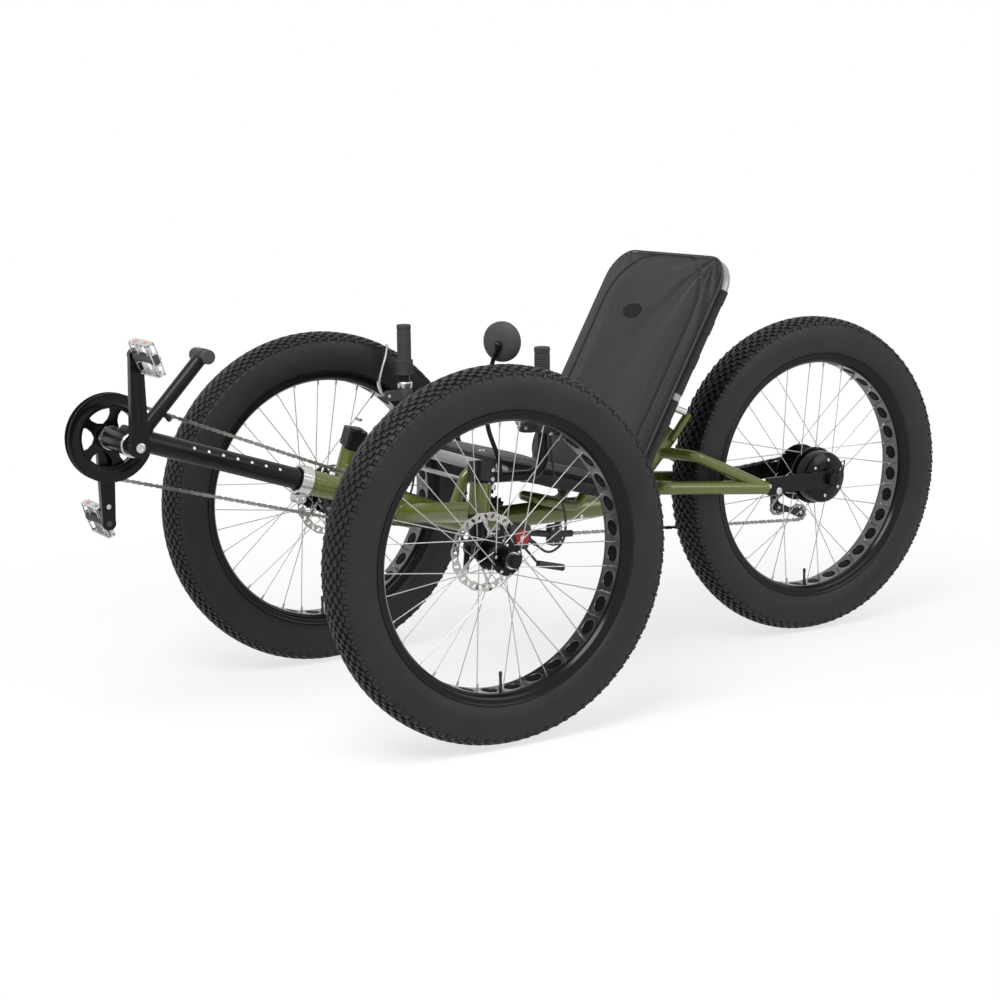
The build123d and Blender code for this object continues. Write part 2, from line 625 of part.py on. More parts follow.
# ---- Dropout plates ----
with BuildPart() as dropouts:
    for side in (1, -1):
        plate = Plane(origin=(side * STAY_X, REAR_Y, AXLE_Z), x_dir=(0, 1, 0), z_dir=(1, 0, 0))
        reach = WHEELBASE - STAY_END - 1.8
        with BuildSketch(plate) as outline:
            with Locations((-reach / 2, 0)):
                Rectangle(reach, DROPOUT_H)
            Circle(DROPOUT_H / 2 + 4)
            Circle(AXLE_R + RUN_FIT, mode=Mode.SUBTRACT)
        extrude(outline.sketch, amount=DROPOUT_T / 2, both=True)
finish(dropouts, "dropouts")

with BuildPart() as rear_axle:
    rod((-STAY_X - 16, REAR_Y, AXLE_Z), (STAY_X + 16, REAR_Y, AXLE_Z), AXLE_R)
    for side in (1, -1):
        nut_x = side * (STAY_X + DROPOUT_T / 2 + SEAT_FIT)
        rod((nut_x, REAR_Y, AXLE_Z), (nut_x + side * 9, REAR_Y, AXLE_Z), AXLE_R + 5)
finish(rear_axle, "rear_axle")

# ---- Seat frame: base rails and back hoop ----
back_way = Vector(0, cos(radians(BACK_LEAN)), sin(radians(BACK_LEAN)))
corner = Vector(behind(0, SEAT_CORNER, SEAT_CORNER_Z))
back_top = corner + back_way * BACK_LENGTH
base_way = (Vector(behind(0, SEAT_FRONT, SEAT_FRONT_Z)) - corner).normalized()
base_length = (Vector(behind(0, SEAT_FRONT, SEAT_FRONT_Z)) - corner).length
with BuildPart() as seat_base_frame:
    for side in (1, -1):
        start = corner + base_way * (SEAT_R + 1) + Vector(side * SEAT_X, 0, 0)
        rod(start, corner + base_way * base_length + Vector(side * SEAT_X, 0, 0), SEAT_R)
    rod(behind(-SEAT_X, SEAT_FRONT, SEAT_FRONT_Z), behind(SEAT_X, SEAT_FRONT, SEAT_FRONT_Z), SEAT_R)
    rod(corner + Vector(-SEAT_X, 0, 0), corner + Vector(SEAT_X, 0, 0), SEAT_R)
finish(seat_base_frame, "seat_base_frame")

STRUT_UP = 230.0
with BuildPart() as seat_back_frame:
    foot = corner + back_way * (SEAT_R + SEAT_R + SEAT_FIT)
    pipe(
        (
            foot + Vector(SEAT_X, 0, 0),
            back_top + Vector(SEAT_X, 0, 0),
            back_top + Vector(-SEAT_X, 0, 0),
            foot + Vector(-SEAT_X, 0, 0),
        ),
        SEAT_R,
        BACK_BEND,
    )
    strut_bar = corner + back_way * STRUT_UP
    rod(strut_bar + Vector(-SEAT_X, 0, 0), strut_bar + Vector(SEAT_X, 0, 0), SEAT_R - 2)
finish(seat_back_frame, "seat_back_frame")

# ---- Seat pads ----
base_up = Vector(0, -base_way.Z, base_way.Y) * -1
back_out = Vector(0, -back_way.Z, back_way.Y)
with BuildPart() as seat_base:
    base_pad = base_length - 14 - SEAT_R - PAD_T - 1
    middle = corner + base_way * (SEAT_R + PAD_T + 1 + base_pad / 2) + base_up * (SEAT_R + SEAT_FIT + PAD_T / 2)
    slab(Plane(origin=middle, x_dir=(1, 0, 0), z_dir=base_up), SEAT_WIDTH - 10, base_pad, PAD_T, 30)
finish(seat_base, "seat_base")

with BuildPart() as seat_back:
    middle = corner + back_way * (BACK_LENGTH / 2 + 14) + back_out * (SEAT_R + SEAT_FIT + PAD_T / 2)
    slab(Plane(origin=middle, x_dir=(1, 0, 0), z_dir=back_out), SEAT_WIDTH, BACK_LENGTH - 4, PAD_T, PAD_CORNER)
finish(seat_back, "seat_back")

# ---- Seat struts from the mast's prongs to the back frame ----
with BuildPart() as seat_struts:
    for side in (1, -1):
        prong_tip = mast_tip + Vector(side * PRONG_X, 24, 42)
        near_bar = strut_bar + Vector(side * PRONG_X, 0, 0)
        way = (prong_tip - near_bar).normalized()
        rod(near_bar + way * (SEAT_R - 2 + SEAT_FIT), prong_tip - way * (PRONG_R + 2.2), 8)
finish(seat_struts, "seat_struts")

# ---- Seat cradle: bent tube over the spine and up to the seat's rear bar ----
CRADLE_AHEAD = 131.0
leg_x = SPINE_R + SUPPORT_R + SEAT_FIT
cradle_top = SPINE_LOW_Z + SPINE_R + SUPPORT_R + SEAT_FIT
rise_way = Vector(0, 0.57, 0.82).normalized()
with BuildPart() as cradle:
    cradle_tip = corner - rise_way * (SEAT_R + SEAT_FIT)
    cradle_low = cradle_tip - rise_way * 42
    route = []
    for side in (1, -1):
        leg = [
            Vector(side * leg_x, cradle_tip.Y, cradle_tip.Z),
            Vector(side * leg_x, cradle_low.Y, cradle_low.Z),
            Vector(side * leg_x, corner.Y - CRADLE_AHEAD, cradle_top),
        ]
        route += leg if side == 1 else leg[::-1]
    pipe(route, SUPPORT_R, (30, 20, 20, 30))
finish(cradle, "seat_cradle")


# ---- Chain loop, idlers and derailleur, all in the plane x = CHAIN_X ----
# y behind the front axle, z, pitch radius; negative where the chain bends the other way
IDLER_R = 18.0
JOCKEY_R = 18.0
WHEEL_PATH = (
    ("chainring", -BB_AHEAD, BB_Z, RING_R),
    ("idler_front", -146.0, 415.0, IDLER_R),
    ("guide", SPINE_END - 139, 313.0, IDLER_R),
    ("jockey_rear", WHEELBASE + 31, 268.0, JOCKEY_R),
    ("jockey_front", WHEELBASE - 37, 289.0, -JOCKEY_R),
    ("cassette", WHEELBASE, AXLE_Z, SPROCKET_R),
    ("idler_power", 262.0, SPINE_LOW_Z + 11, -30.0),
)


def loop_outline(grow):
    """Closed outline of the chain's run round its wheels, moved outwards by grow."""
    circles = [(Vector(FRONT_Y + y, z), r + grow) for _, y, z, r in WHEEL_PATH]
    marks = []
    for index, (here, r_here) in enumerate(circles):
        there, r_there = circles[(index + 1) % len(circles)]
        gap = there - here
        turn = asin((r_here - r_there) / gap.length)
        heading = atan2(gap.Y, gap.X) + turn
        side = Vector(sin(heading), -cos(heading))
        marks.append((here + side * r_here, there + side * r_there, heading))
    with BuildLine() as outline:
        for index, (here, radius) in enumerate(circles):
            arrive, leave = marks[index - 1], marks[index]
            swing = (leave[2] - arrive[2]) % (2 * pi)
            if radius < 0:
                swing -= 2 * pi
            middle = arrive[2] + swing / 2
            crest = here + Vector(sin(middle), -cos(middle)) * radius
            ThreePointArc(arrive[1], crest, leave[0])
            Line(leave[0], leave[1])
    return make_face(outline.line)


chain_plane = Plane(origin=(CHAIN_X, 0, 0), x_dir=(0, 1, 0), z_dir=(1, 0, 0))
with BuildPart() as chain:
    with BuildSketch(chain_plane):
        add(loop_outline(CHAIN_H / 2))
        add(loop_outline(-CHAIN_H / 2), mode=Mode.SUBTRACT)
    extrude(amount=CHAIN_W / 2, both=True)
finish(chain, "chain")

with BuildPart() as idlers:
    for name, y, z, r in WHEEL_PATH:
        if name.startswith("idler"):
            mid = Vector(behind(CHAIN_X, y, z))
            rod(mid - Vector(4, 0, 0), mid + Vector(4, 0, 0), abs(r) - CHAIN_H / 2 - SEAT_FIT)
            rod(mid - Vector(8, 0, 0), Vector(-10, mid.Y, mid.Z), 5)
            if name == "idler_front":
                rod(Vector(-14, mid.Y, mid.Z - 5), Vector(-14, mid.Y, mid.Z + 40), 6)
    rod(behind(0, -CLAMP_AHEAD, spine_z(-CLAMP_AHEAD)), behind(0, LEVEL_FROM, SPINE_LOW_Z), SPINE_R + 0.02, mode=Mode.SUBTRACT)
    rod(behind(0, LEVEL_FROM, SPINE_LOW_Z), behind(0, SPINE_END, SPINE_LOW_Z), SPINE_R + 0.02, mode=Mode.SUBTRACT)
finish(idlers, "chain_idlers")

# ---- Chain tube round the return run, with the block that holds its rear end under the spine ----
TUBE_R = 7.6
TUBE_BORE_R = 6.2
TUBE_FROM = 128.0
GUIDE_LENGTH = 30.0
GUIDE_HEIGHT = 46.0
RETURN_STOPS = ("idler_front", "guide", "jockey_rear")
return_wheels = [Vector(CHAIN_X, FRONT_Y + y, z) for name, y, z, r in WHEEL_PATH if name in RETURN_STOPS]


def on_return(run, distance):
    """Point of the return run's middle: run 0 goes to the guide, run 1 goes on to the rear."""
    here, there = return_wheels[run], return_wheels[run + 1]
    way = (there - here).normalized()
    return here + Vector(0, way.Z, -way.Y) * IDLER_R + way * distance


with BuildPart() as chain_tube:
    guide_mid = return_wheels[1] - Vector(0, 0, IDLER_R + 1)
    to_guide = (return_wheels[1] - return_wheels[0]).length
    guide_plane = Plane(origin=guide_mid, x_dir=(0, 1, 0), z_dir=(1, 0, 0))
    rod(on_return(0, TUBE_FROM), on_return(0, to_guide - 8), TUBE_R)
    slab(guide_plane, GUIDE_LENGTH, GUIDE_HEIGHT, 20, 5)
    rod(on_return(1, GUIDE_LENGTH / 2 - 3), on_return(1, 48), TUBE_R)
    rod(guide_mid + Vector(0, 0, 14), Vector(-12, guide_mid.Y, SPINE_LOW_Z - 8), 6)
    rod(behind(0, LEVEL_FROM, SPINE_LOW_Z), behind(0, SPINE_END, SPINE_LOW_Z), SPINE_R + 0.02, mode=Mode.SUBTRACT)
    rod(on_return(0, TUBE_FROM - 5), on_return(0, to_guide - 2), TUBE_BORE_R, mode=Mode.SUBTRACT)
    slab(guide_plane, GUIDE_LENGTH + 1, 18, 10, 2, mode=Mode.SUBTRACT)
    rod(on_return(1, GUIDE_LENGTH / 2 - 6), on_return(1, 52), TUBE_BORE_R, mode=Mode.SUBTRACT)
finish(chain_tube, "chain_tube")

with BuildPart() as derailleur:
    jockeys = [Vector(behind(CHAIN_X, y, z)) for name, y, z, r in WHEEL_PATH if name.startswith("jockey")]
    cage_x = Vector(-CHAIN_W / 2 - 2.5, 0, 0)
    for mid in jockeys:
        rod(mid - Vector(3, 0, 0), mid + Vector(3, 0, 0), JOCKEY_R - CHAIN_H / 2 - SEAT_FIT)
        rod(mid + cage_x * 1.3, mid - cage_x * 1.3, 4)
    for plate_x in (cage_x, -cage_x):
        cage_mid = (jockeys[0] + jockeys[1]) / 2 + plate_x
        slab(Plane(origin=cage_mid, x_dir=jockeys[0] - jockeys[1], z_dir=(1, 0, 0)), 92, 22, 2, 10)
    hanger_x = -STAY_X - DROPOUT_T / 2 - 2
    hanger = Plane(origin=(hanger_x, REAR_Y - 34, AXLE_Z - 29), x_dir=(0, 1, 0), z_dir=(1, 0, 0))
    slab(hanger, 20, 66, 4, 8)
    elbow = Vector(CHAIN_X - 16, REAR_Y - 34, AXLE_Z - 54)
    rod(Vector(hanger_x, elbow.Y, elbow.Z), elbow, 7)
    rod(elbow, jockeys[1] + cage_x * 1.6, 6)
finish(derailleur, "derailleur")

# ---- Crankset: chainring with guard, arms on one spindle ----
with BuildPart() as chainring:
    ring_plane = Plane(origin=(CHAIN_X, BB_Y, BB_Z), x_dir=(0, 1, 0), z_dir=(1, 0, 0))
    with BuildSketch(ring_plane) as blade:
        Circle(RING_R - CHAIN_H / 2 - SEAT_FIT)
        Circle(RING_R - 20, mode=Mode.SUBTRACT)
    extrude(blade.sketch, amount=RING_T / 2, both=True)
    with BuildSketch(ring_plane.offset(-CHAIN_W / 2 - 6 - RING_T)) as guard:
        Circle(GUARD_R)
        Circle(RING_R - 20, mode=Mode.SUBTRACT)
        with PolarLocations(0, 5):
            with Locations(((RING_R - 10) / 2, 0)):
                Rectangle(RING_R - 10, 18)
        Circle(24)
        Circle(AXLE_R + SEAT_FIT, mode=Mode.SUBTRACT)
    extrude(guard.sketch, amount=RING_T)
    with BuildSketch(ring_plane) as web:
        Circle(RING_R - 14)
        Circle(RING_R - 20, mode=Mode.SUBTRACT)
    extrude(web.sketch, amount=-CHAIN_W / 2 - 7)
finish(chainring, "chainring")

with BuildPart() as crankset:
    rod((-CRANK_X, BB_Y, BB_Z), (CRANK_X, BB_Y, BB_Z), AXLE_R)
    for side in (1, -1):
        hub_end = Vector(side * CRANK_X, BB_Y, BB_Z)
        eye = hub_end + Vector(0, 0, side * CRANK_LENGTH)
        arm_plane = Plane(origin=hub_end, x_dir=(0, 1, 0), z_dir=(side, 0, 0))
        rod(hub_end - Vector(side * 10, 0, 0), hub_end + Vector(side * 8, 0, 0), 20)
        rod(eye - Vector(side * 7, 0, 0), eye + Vector(side * 7, 0, 0), 14)
        with BuildSketch(arm_plane) as arm:
            with BuildLine():
                Polyline((-18, 0), (18, 0), (13, CRANK_LENGTH), (-13, CRANK_LENGTH), close=True)
            make_face()
        extrude(arm.sketch, amount=7, both=True)
        rod(eye - Vector(side * 8, 0, 0), eye + Vector(side * 8, 0, 0), 6 + RUN_FIT, mode=Mode.SUBTRACT)
finish(crankset, "crankset")

for side, name in ((1, "left"), (-1, "right")):
    eye = Vector(side * CRANK_X, BB_Y, BB_Z + side * CRANK_LENGTH)
    mid = Vector(side * PEDAL_X, eye.Y, eye.Z)
    tilt = radians(PEDAL_TILT)
    deck = Plane(origin=mid, x_dir=(1, 0, 0), z_dir=(0, -sin(tilt), -cos(tilt)))
    with BuildPart() as pedal:
        slab(deck, PEDAL_LENGTH, PEDAL_WIDTH, PEDAL_T, 12)
        for window in (1, -1):
            slot = Plane(origin=mid + deck.y_dir * (window * 19), x_dir=(1, 0, 0), z_dir=deck.z_dir)
            slab(slot, PEDAL_LENGTH - 22, 18, PEDAL_T * 2, 4, mode=Mode.SUBTRACT)
        rod(eye - Vector(side * 7, 0, 0), mid, 6)
        rod(eye + Vector(side * 7.3, 0, 0), mid, 8)
    finish(pedal, f"pedal_{name}")
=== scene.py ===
import logging
import math
from dataclasses import dataclass, field
from enum import Enum
from typing import Any, Optional, Sequence, Union

import bmesh
import bpy
from mathutils import Matrix, Vector, noise


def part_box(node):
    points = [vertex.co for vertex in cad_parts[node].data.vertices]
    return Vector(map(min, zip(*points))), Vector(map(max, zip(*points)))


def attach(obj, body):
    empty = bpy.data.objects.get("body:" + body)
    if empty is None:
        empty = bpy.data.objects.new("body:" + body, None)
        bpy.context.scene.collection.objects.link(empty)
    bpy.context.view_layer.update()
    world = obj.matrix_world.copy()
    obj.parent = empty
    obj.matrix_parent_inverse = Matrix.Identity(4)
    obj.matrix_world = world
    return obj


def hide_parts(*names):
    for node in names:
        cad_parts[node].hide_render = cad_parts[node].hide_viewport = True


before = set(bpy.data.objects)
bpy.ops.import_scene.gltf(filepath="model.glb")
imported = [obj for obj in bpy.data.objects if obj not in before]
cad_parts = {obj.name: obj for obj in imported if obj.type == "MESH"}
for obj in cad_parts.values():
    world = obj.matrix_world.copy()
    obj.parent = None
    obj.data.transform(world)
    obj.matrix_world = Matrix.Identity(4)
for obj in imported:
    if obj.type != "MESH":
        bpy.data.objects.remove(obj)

log = logging.getLogger("trike")
MM = 0.001
Colour = tuple[float, float, float]
Ring = list[Vector]
ACROSS, BEHIND, UP = Vector((1, 0, 0)), Vector((0, 1, 0)), Vector((0, 0, 1))
MERGE = 0.00002


# ---- Shader tools ----
class Socket:
    """One output socket that stands in Python arithmetic; each operation adds its node."""

    def __init__(self, surface: "NodeTree", output: bpy.types.NodeSocket) -> None:
        """Wraps an output of a node.

        Args:
            surface: The node tree being built.
            output: The socket that carries the value.
        """
        self.surface = surface
        self.output = output

    def _join(self, operation: str, first: "Operand", second: "Operand") -> "Socket":
        """Adds the Math or Vector Math node of one operation.

        Args:
            operation: The node's operation.
            first: Left operand.
            second: Right operand.

        Returns:
            The node's result.
        """
        wide = any(isinstance(s, Socket) and s.output.type in ("VECTOR", "RGBA") for s in (first, second))
        kind = "ShaderNodeVectorMath" if wide else "ShaderNodeMath"
        return self.surface.node(kind, {"operation": operation}, {0: first, 1: second})

    def __add__(self, other: "Operand") -> "Socket":
        """Sum."""
        return self._join("ADD", self, other)

    def __radd__(self, other: "Operand") -> "Socket":
        """Reflected sum."""
        return self._join("ADD", other, self)

    def __sub__(self, other: "Operand") -> "Socket":
        """Difference."""
        return self._join("SUBTRACT", self, other)

    def __rsub__(self, other: "Operand") -> "Socket":
        """Reflected difference."""
        return self._join("SUBTRACT", other, self)

    def __mul__(self, other: "Operand") -> "Socket":
        """Product."""
        return self._join("MULTIPLY", self, other)

    def __rmul__(self, other: "Operand") -> "Socket":
        """Reflected product."""
        return self._join("MULTIPLY", other, self)

    def math(self, operation: str, other: "Operand" = 0.0) -> "Socket":
        """Any other Math operation, such as SINE or GREATER_THAN."""
        return self.surface.node("ShaderNodeMath", {"operation": operation}, {0: self, 1: other})

    def ramp(self, low: float, high: float) -> "Socket":
        """Maps low to 0 and high to 1, held outside."""
        return self.surface.node("ShaderNodeMapRange", {"clamp": True}, {"Value": self, 1: low, 2: high})


Operand = Union[Socket, float, tuple]


class NodeTree:
    """Node tree of a material or of the world, with one method that adds any node."""

    def __init__(self, tree: bpy.types.NodeTree) -> None:
        """Takes a tree.

        Args:
            tree: Blender's node tree.
        """
        self.nodes = tree.nodes
        self.links = tree.links

    def node(self, kind: str, settings: Optional[dict[str, Any]] = None,
             inputs: Optional[dict[Any, "Operand"]] = None, output: Any = 0) -> Socket:
        """Adds one node.

        Args:
            kind: Blender's node type.
            settings: Node properties, set before the sockets.
            inputs: Values or links by socket name or number.
            output: Name or number of the output wanted.

        Returns:
            The wanted output.
        """
        made = self.nodes.new(kind)
        for key, value in (settings or {}).items():
            setattr(made, key, value)
        for key, value in (inputs or {}).items():
            self.feed(made.inputs[key], value)
        return Socket(self, made.outputs[output])

    def feed(self, socket: bpy.types.NodeSocket, value: "Operand") -> None:
        """Links or sets one input socket.

        Args:
            socket: The input.
            value: A socket to link, or a value to set.
        """
        if isinstance(value, Socket):
            self.links.new(value.output, socket)
        elif socket.type == "RGBA" and len(value) == 3:
            socket.default_value = (*value, 1.0)
        else:
            socket.default_value = value

    def mix(self, factor: "Operand", first: "Operand", second: "Operand") -> Socket:
        """Blend of two colours."""
        inputs = {0: factor, 6: first, 7: second}
        return self.node("ShaderNodeMix", {"data_type": "RGBA"}, inputs, output=2)

    def place(self) -> Socket:
        """Position in the trike's own frame, in metres."""
        return self.node("ShaderNodeTexCoord", output="Object")

    def noise(self, scale: float, detail: float = 2.0, at: Optional[Socket] = None) -> Socket:
        """Smooth noise between 0 and 1 with scale features to the metre."""
        where = at if at is not None else self.place()
        return self.node("ShaderNodeTexNoise", {}, {"Vector": where, "Scale": scale, "Detail": detail})

    def seen(self) -> Socket:
        """Tells the rays that see a surface from those that light others.

        Returns:
            1 for rays of the camera, of mirrors and through glass, otherwise 0.
        """
        total = self.node("ShaderNodeLightPath", output="Is Camera Ray")
        paths = total.output.node
        for kind in ("Is Transmission Ray", "Is Glossy Ray"):
            total = total.math("MAXIMUM", Socket(self, paths.outputs[kind]))
        return total


class Surface(NodeTree):
    """One node material under construction."""

    def __init__(self, name: str) -> None:
        """Starts a material with its Principled shader.

        Args:
            name: The material's name.
        """
        self.material = bpy.data.materials.new(name)
        self.material.use_nodes = True
        super().__init__(self.material.node_tree)
        self.shader = self.nodes["Principled BSDF"]

    def bump(self, height: Socket, depth: float) -> None:
        """Raises the surface by height times depth metres."""
        normal = self.node("ShaderNodeBump", {}, {"Height": height, "Strength": 1.0, "Distance": depth})
        self.feed(self.shader.inputs["Normal"], normal)

    def finish(self, **inputs: "Operand") -> bpy.types.Material:
        """Feeds the Principled shader.

        Args:
            inputs: Values or links by socket name, with _ for spaces.

        Returns:
            The finished material.
        """
        for key, value in inputs.items():
            self.feed(self.shader.inputs[key.replace("_", " ")], value)
        return self.material


# ---- Finishes ----
@dataclass(frozen=True)
class Paint:
    """Sprayed and lacquered metal."""

    name: str
    colour: Colour
    roughness: float = 0.32
    metallic: float = 0.0
    coat: float = 0.5
    flake: float = 0.015
    shine: float = 0.5

    def make(self) -> bpy.types.Material:
        """Builds the material.

        Returns:
            Paint with faint mottling, orange peel and dust in its gloss.
        """
        s = Surface(self.name)
        cloud = s.noise(18.0, 3.0)
        peel = s.noise(900.0, 1.0)
        dust = s.noise(60.0, 4.0)
        dark = tuple(c * (1 - self.flake * 2.5) for c in self.colour)
        lit = tuple(min(1.0, c * (1 + self.flake * 2.5)) for c in self.colour)
        s.bump(peel, 0.000008)
        return s.finish(Base_Color=s.mix(cloud, dark, lit), Metallic=self.metallic,
                        Roughness=self.roughness + (dust - 0.5) * 0.12, Coat_Weight=self.coat,
                        Coat_Roughness=0.12, Specular_IOR_Level=self.shine)


@dataclass(frozen=True)
class BareMetal:
    """Ground, drawn or cast metal without paint."""

    name: str
    colour: Colour
    roughness: float = 0.3
    grain: float = 220.0
    wear: float = 0.25

    def make(self) -> bpy.types.Material:
        """Builds the material.

        Returns:
            Metal with fine grain and cloudy tarnish.
        """
        s = Surface(self.name)
        tarnish = s.noise(35.0, 4.0)
        grain = s.noise(self.grain * 8.0, 2.0)
        dull = tuple(c * (1 - self.wear) for c in self.colour)
        s.bump(grain, 0.00003)
        return s.finish(Base_Color=s.mix(tarnish, dull, self.colour), Metallic=1.0,
                        Roughness=self.roughness + (tarnish - 0.5) * 0.2)


@dataclass(frozen=True)
class Moulded:
    """Moulded plastic or rubber."""

    name: str
    colour: Colour
    roughness: float = 0.55
    grain: float = 1400.0
    depth: float = 0.00008
    shine: float = 0.22

    def make(self) -> bpy.types.Material:
        """Builds the material.

        Returns:
            Plastic with a fine moulded grain and slight scuffs.
        """
        s = Surface(self.name)
        scuff = s.noise(40.0, 5.0)
        grain = s.noise(self.grain, 2.0)
        pale = tuple(c * 1.5 + 0.004 for c in self.colour)
        s.bump(grain, self.depth)
        return s.finish(Base_Color=s.mix(scuff.ramp(0.45, 0.8) * 0.5, self.colour, pale),
                        Roughness=self.roughness + (scuff - 0.5) * 0.2, Specular_IOR_Level=self.shine)


@dataclass(frozen=True)
class TyreRubber:
    """Charcoal tyre rubber with fine moulded rings near the bead."""

    name: str
    colour: Colour
    axle: tuple[float, float, float]
    ring_pitch: float = 4.2 * MM

    def make(self) -> bpy.types.Material:
        """Builds the material.

        Returns:
            Matt rubber with a bloom, and rings about the wheel's axle.
        """
        s = Surface(self.name)
        offset = s.place() - self.axle
        flat = offset * (0.0, 1.0, 1.0)
        radius = s.node("ShaderNodeVectorMath", {"operation": "LENGTH"}, {0: flat}, output="Value")
        rings = (radius * (2 * math.pi / self.ring_pitch)).math("SINE")
        near_bead = 1.0 - radius.ramp(0.300, 0.322)
        bloom = s.noise(9.0, 4.0)
        pores = s.noise(1600.0, 2.0)
        pale = tuple(c * 1.4 + 0.002 for c in self.colour)
        s.bump(rings * near_bead * 0.5 + pores * 0.25, 0.0004)
        return s.finish(Base_Color=s.mix(bloom.ramp(0.35, 0.75), self.colour, pale),
                        Roughness=0.45 + (bloom - 0.5) * 0.2, Specular_IOR_Level=0.28)


@dataclass(frozen=True)
class SeatCloth:
    """Heavy woven cloth with ribbed mesh flaps outside the sewn line."""

    name: str
    colour: Colour
    flap: Colour = (0.0095, 0.0105, 0.0100)
    thread: float = 1.1 * MM
    rib: float = 4.2 * MM
    sheen: float = 0.15

    def make(self) -> bpy.types.Material:
        """Builds the material.

        Returns:
            Cloth with two crossing threads, worn patches and diagonal ribs on its flaps.
        """
        s = Surface(self.name)
        where = s.place()
        split = s.node("ShaderNodeSeparateXYZ", {}, {0: where})
        x, y, z = (Socket(s, split.output.node.outputs[axis]) for axis in "XYZ")
        along = z + y * 0.6
        turn = 2 * math.pi / self.thread
        weave = (x * turn).math("SINE") * (along * turn).math("SINE")
        ribs = ((along + x) * (2 * math.pi / self.rib)).math("SINE")
        mask = s.node("ShaderNodeAttribute", {"attribute_name": "flap"}, output="Fac")
        worn = s.noise(9.0, 5.0)
        fuzz = s.noise(2500.0, 2.0)
        pale = tuple(c * 1.7 + 0.004 for c in self.colour)
        cloth = s.mix(weave.ramp(-1.0, 1.0) * 0.25 + worn * 0.5, self.colour, pale)
        mesh = s.mix(ribs.ramp(-0.4, 0.6), tuple(c * 0.3 for c in self.flap), self.flap)
        s.bump(weave * (1.0 - mask) * 0.35 + fuzz * 0.3 + ribs * mask * 1.6, 0.0004)
        return s.finish(Base_Color=s.mix(mask, cloth, mesh), Roughness=0.62 + (worn - 0.5) * 0.2,
                        Specular_IOR_Level=0.2, Sheen_Weight=self.sheen, Sheen_Roughness=0.5)


@dataclass(frozen=True)
class Webbing:
    """Woven strap with fine ribs across it."""

    name: str
    colour: Colour
    pitch: float = 1.6 * MM

    def make(self) -> bpy.types.Material:
        """Builds the material.

        Returns:
            Ribbed strap cloth with a little fuzz.
        """
        s = Surface(self.name)
        split = s.node("ShaderNodeSeparateXYZ", {}, {0: s.place()})
        x, y, z = (Socket(s, split.output.node.outputs[axis]) for axis in "XYZ")
        ribs = ((x + y + z) * (2 * math.pi / self.pitch)).math("SINE")
        fuzz = s.noise(1800.0, 2.0)
        pale = tuple(c * 1.8 + 0.006 for c in self.colour)
        s.bump(ribs * 0.5 + fuzz * 0.5, 0.0003)
        lit = ribs.ramp(-1.0, 1.0) * 0.6 + fuzz * 0.2
        return s.finish(Base_Color=s.mix(lit, self.colour, pale), Roughness=0.8)


class Finish(Enum):
    """Every finish on the trike that is not tied to one place."""

    FRAME = Paint("olive_paint", (0.098, 0.120, 0.017), roughness=0.28, metallic=0.2, coat=0.35)
    BLACK = Paint("satin_black", (0.0050, 0.0062, 0.0050), roughness=0.32, coat=0.05, shine=0.17)
    GLOSS_BLACK = Paint("gloss_black", (0.0028, 0.0036, 0.0028), roughness=0.2, coat=0.08, shine=0.16)
    SEAT_TUBE = Paint("grey_anodised", (0.30, 0.31, 0.30), roughness=0.38, metallic=0.55, coat=0.1)
    RED = Paint("red_anodised", (0.30, 0.008, 0.012), roughness=0.35, metallic=0.6)
    AMBER = Paint("amber_lens", (0.42, 0.10, 0.03), roughness=0.25, coat=0.5)
    DOTS = Paint("white_print", (0.75, 0.75, 0.73), roughness=0.5, coat=0.1)
    SILVER = BareMetal("silver_alloy", (0.66, 0.66, 0.65), roughness=0.27)
    STEEL = BareMetal("spoke_steel", (0.11, 0.11, 0.105), roughness=0.30)
    BRIGHT = BareMetal("bright_chain_steel", (0.36, 0.35, 0.33), roughness=0.26, wear=0.35)
    MIRROR = BareMetal("mirror_glass", (0.86, 0.88, 0.90), roughness=0.06, grain=20.0, wear=0.03)
    ROTOR = BareMetal("ground_steel", (0.60, 0.58, 0.55), roughness=0.26, grain=400.0)
    CHAIN = BareMetal("oiled_steel", (0.26, 0.24, 0.21), roughness=0.36, wear=0.5)
    CAST = BareMetal("cast_alloy", (0.36, 0.36, 0.35), roughness=0.42)
    PLASTIC = Moulded("black_plastic", (0.012, 0.012, 0.012))
    RUBBER = Moulded("grip_rubber", (0.014, 0.014, 0.014), roughness=0.72, depth=0.0002)
    RIM_BED = BareMetal("dark_rim_bed", (0.13, 0.135, 0.13), roughness=0.26, wear=0.2)
    TAPE = Moulded("rim_tape", (0.004, 0.004, 0.004), shine=0.08)
    CLOTH = SeatCloth("seat_cloth", (0.0080, 0.0105, 0.0082))
    STRAP = Webbing("strap_webbing", (0.0070, 0.0075, 0.0072))
    PIPING = Webbing("seat_piping", (0.030, 0.034, 0.030))
    BADGE = Paint("badge_lacquer", (0.0022, 0.0022, 0.0024), roughness=0.3, coat=0.0, shine=0.12)


AnyFinish = Union[Finish, TyreRubber]


def material_of(finish: AnyFinish) -> bpy.types.Material:
    """A finish's material, built the first time that it is asked for."""
    recipe = finish.value if isinstance(finish, Finish) else finish
    return bpy.data.materials.get(recipe.name) or recipe.make()


# ---- Mesh tools ----
Outline = Sequence[tuple[float, float]]


def turns(count: int, first: float = 0.0) -> list[float]:
    """Angles of even steps round a full turn; first is the first one in steps."""
    return [2 * math.pi * (k + first) / count for k in range(count)]


def radial(angle: float) -> Vector:
    """Direction square to the axles at an angle."""
    return Vector((0, math.cos(angle), math.sin(angle)))


def rect(left: float, low: float, right: float, high: float) -> Outline:
    """Corners of a rectangle."""
    return (left, low), (right, low), (right, high), (left, high)


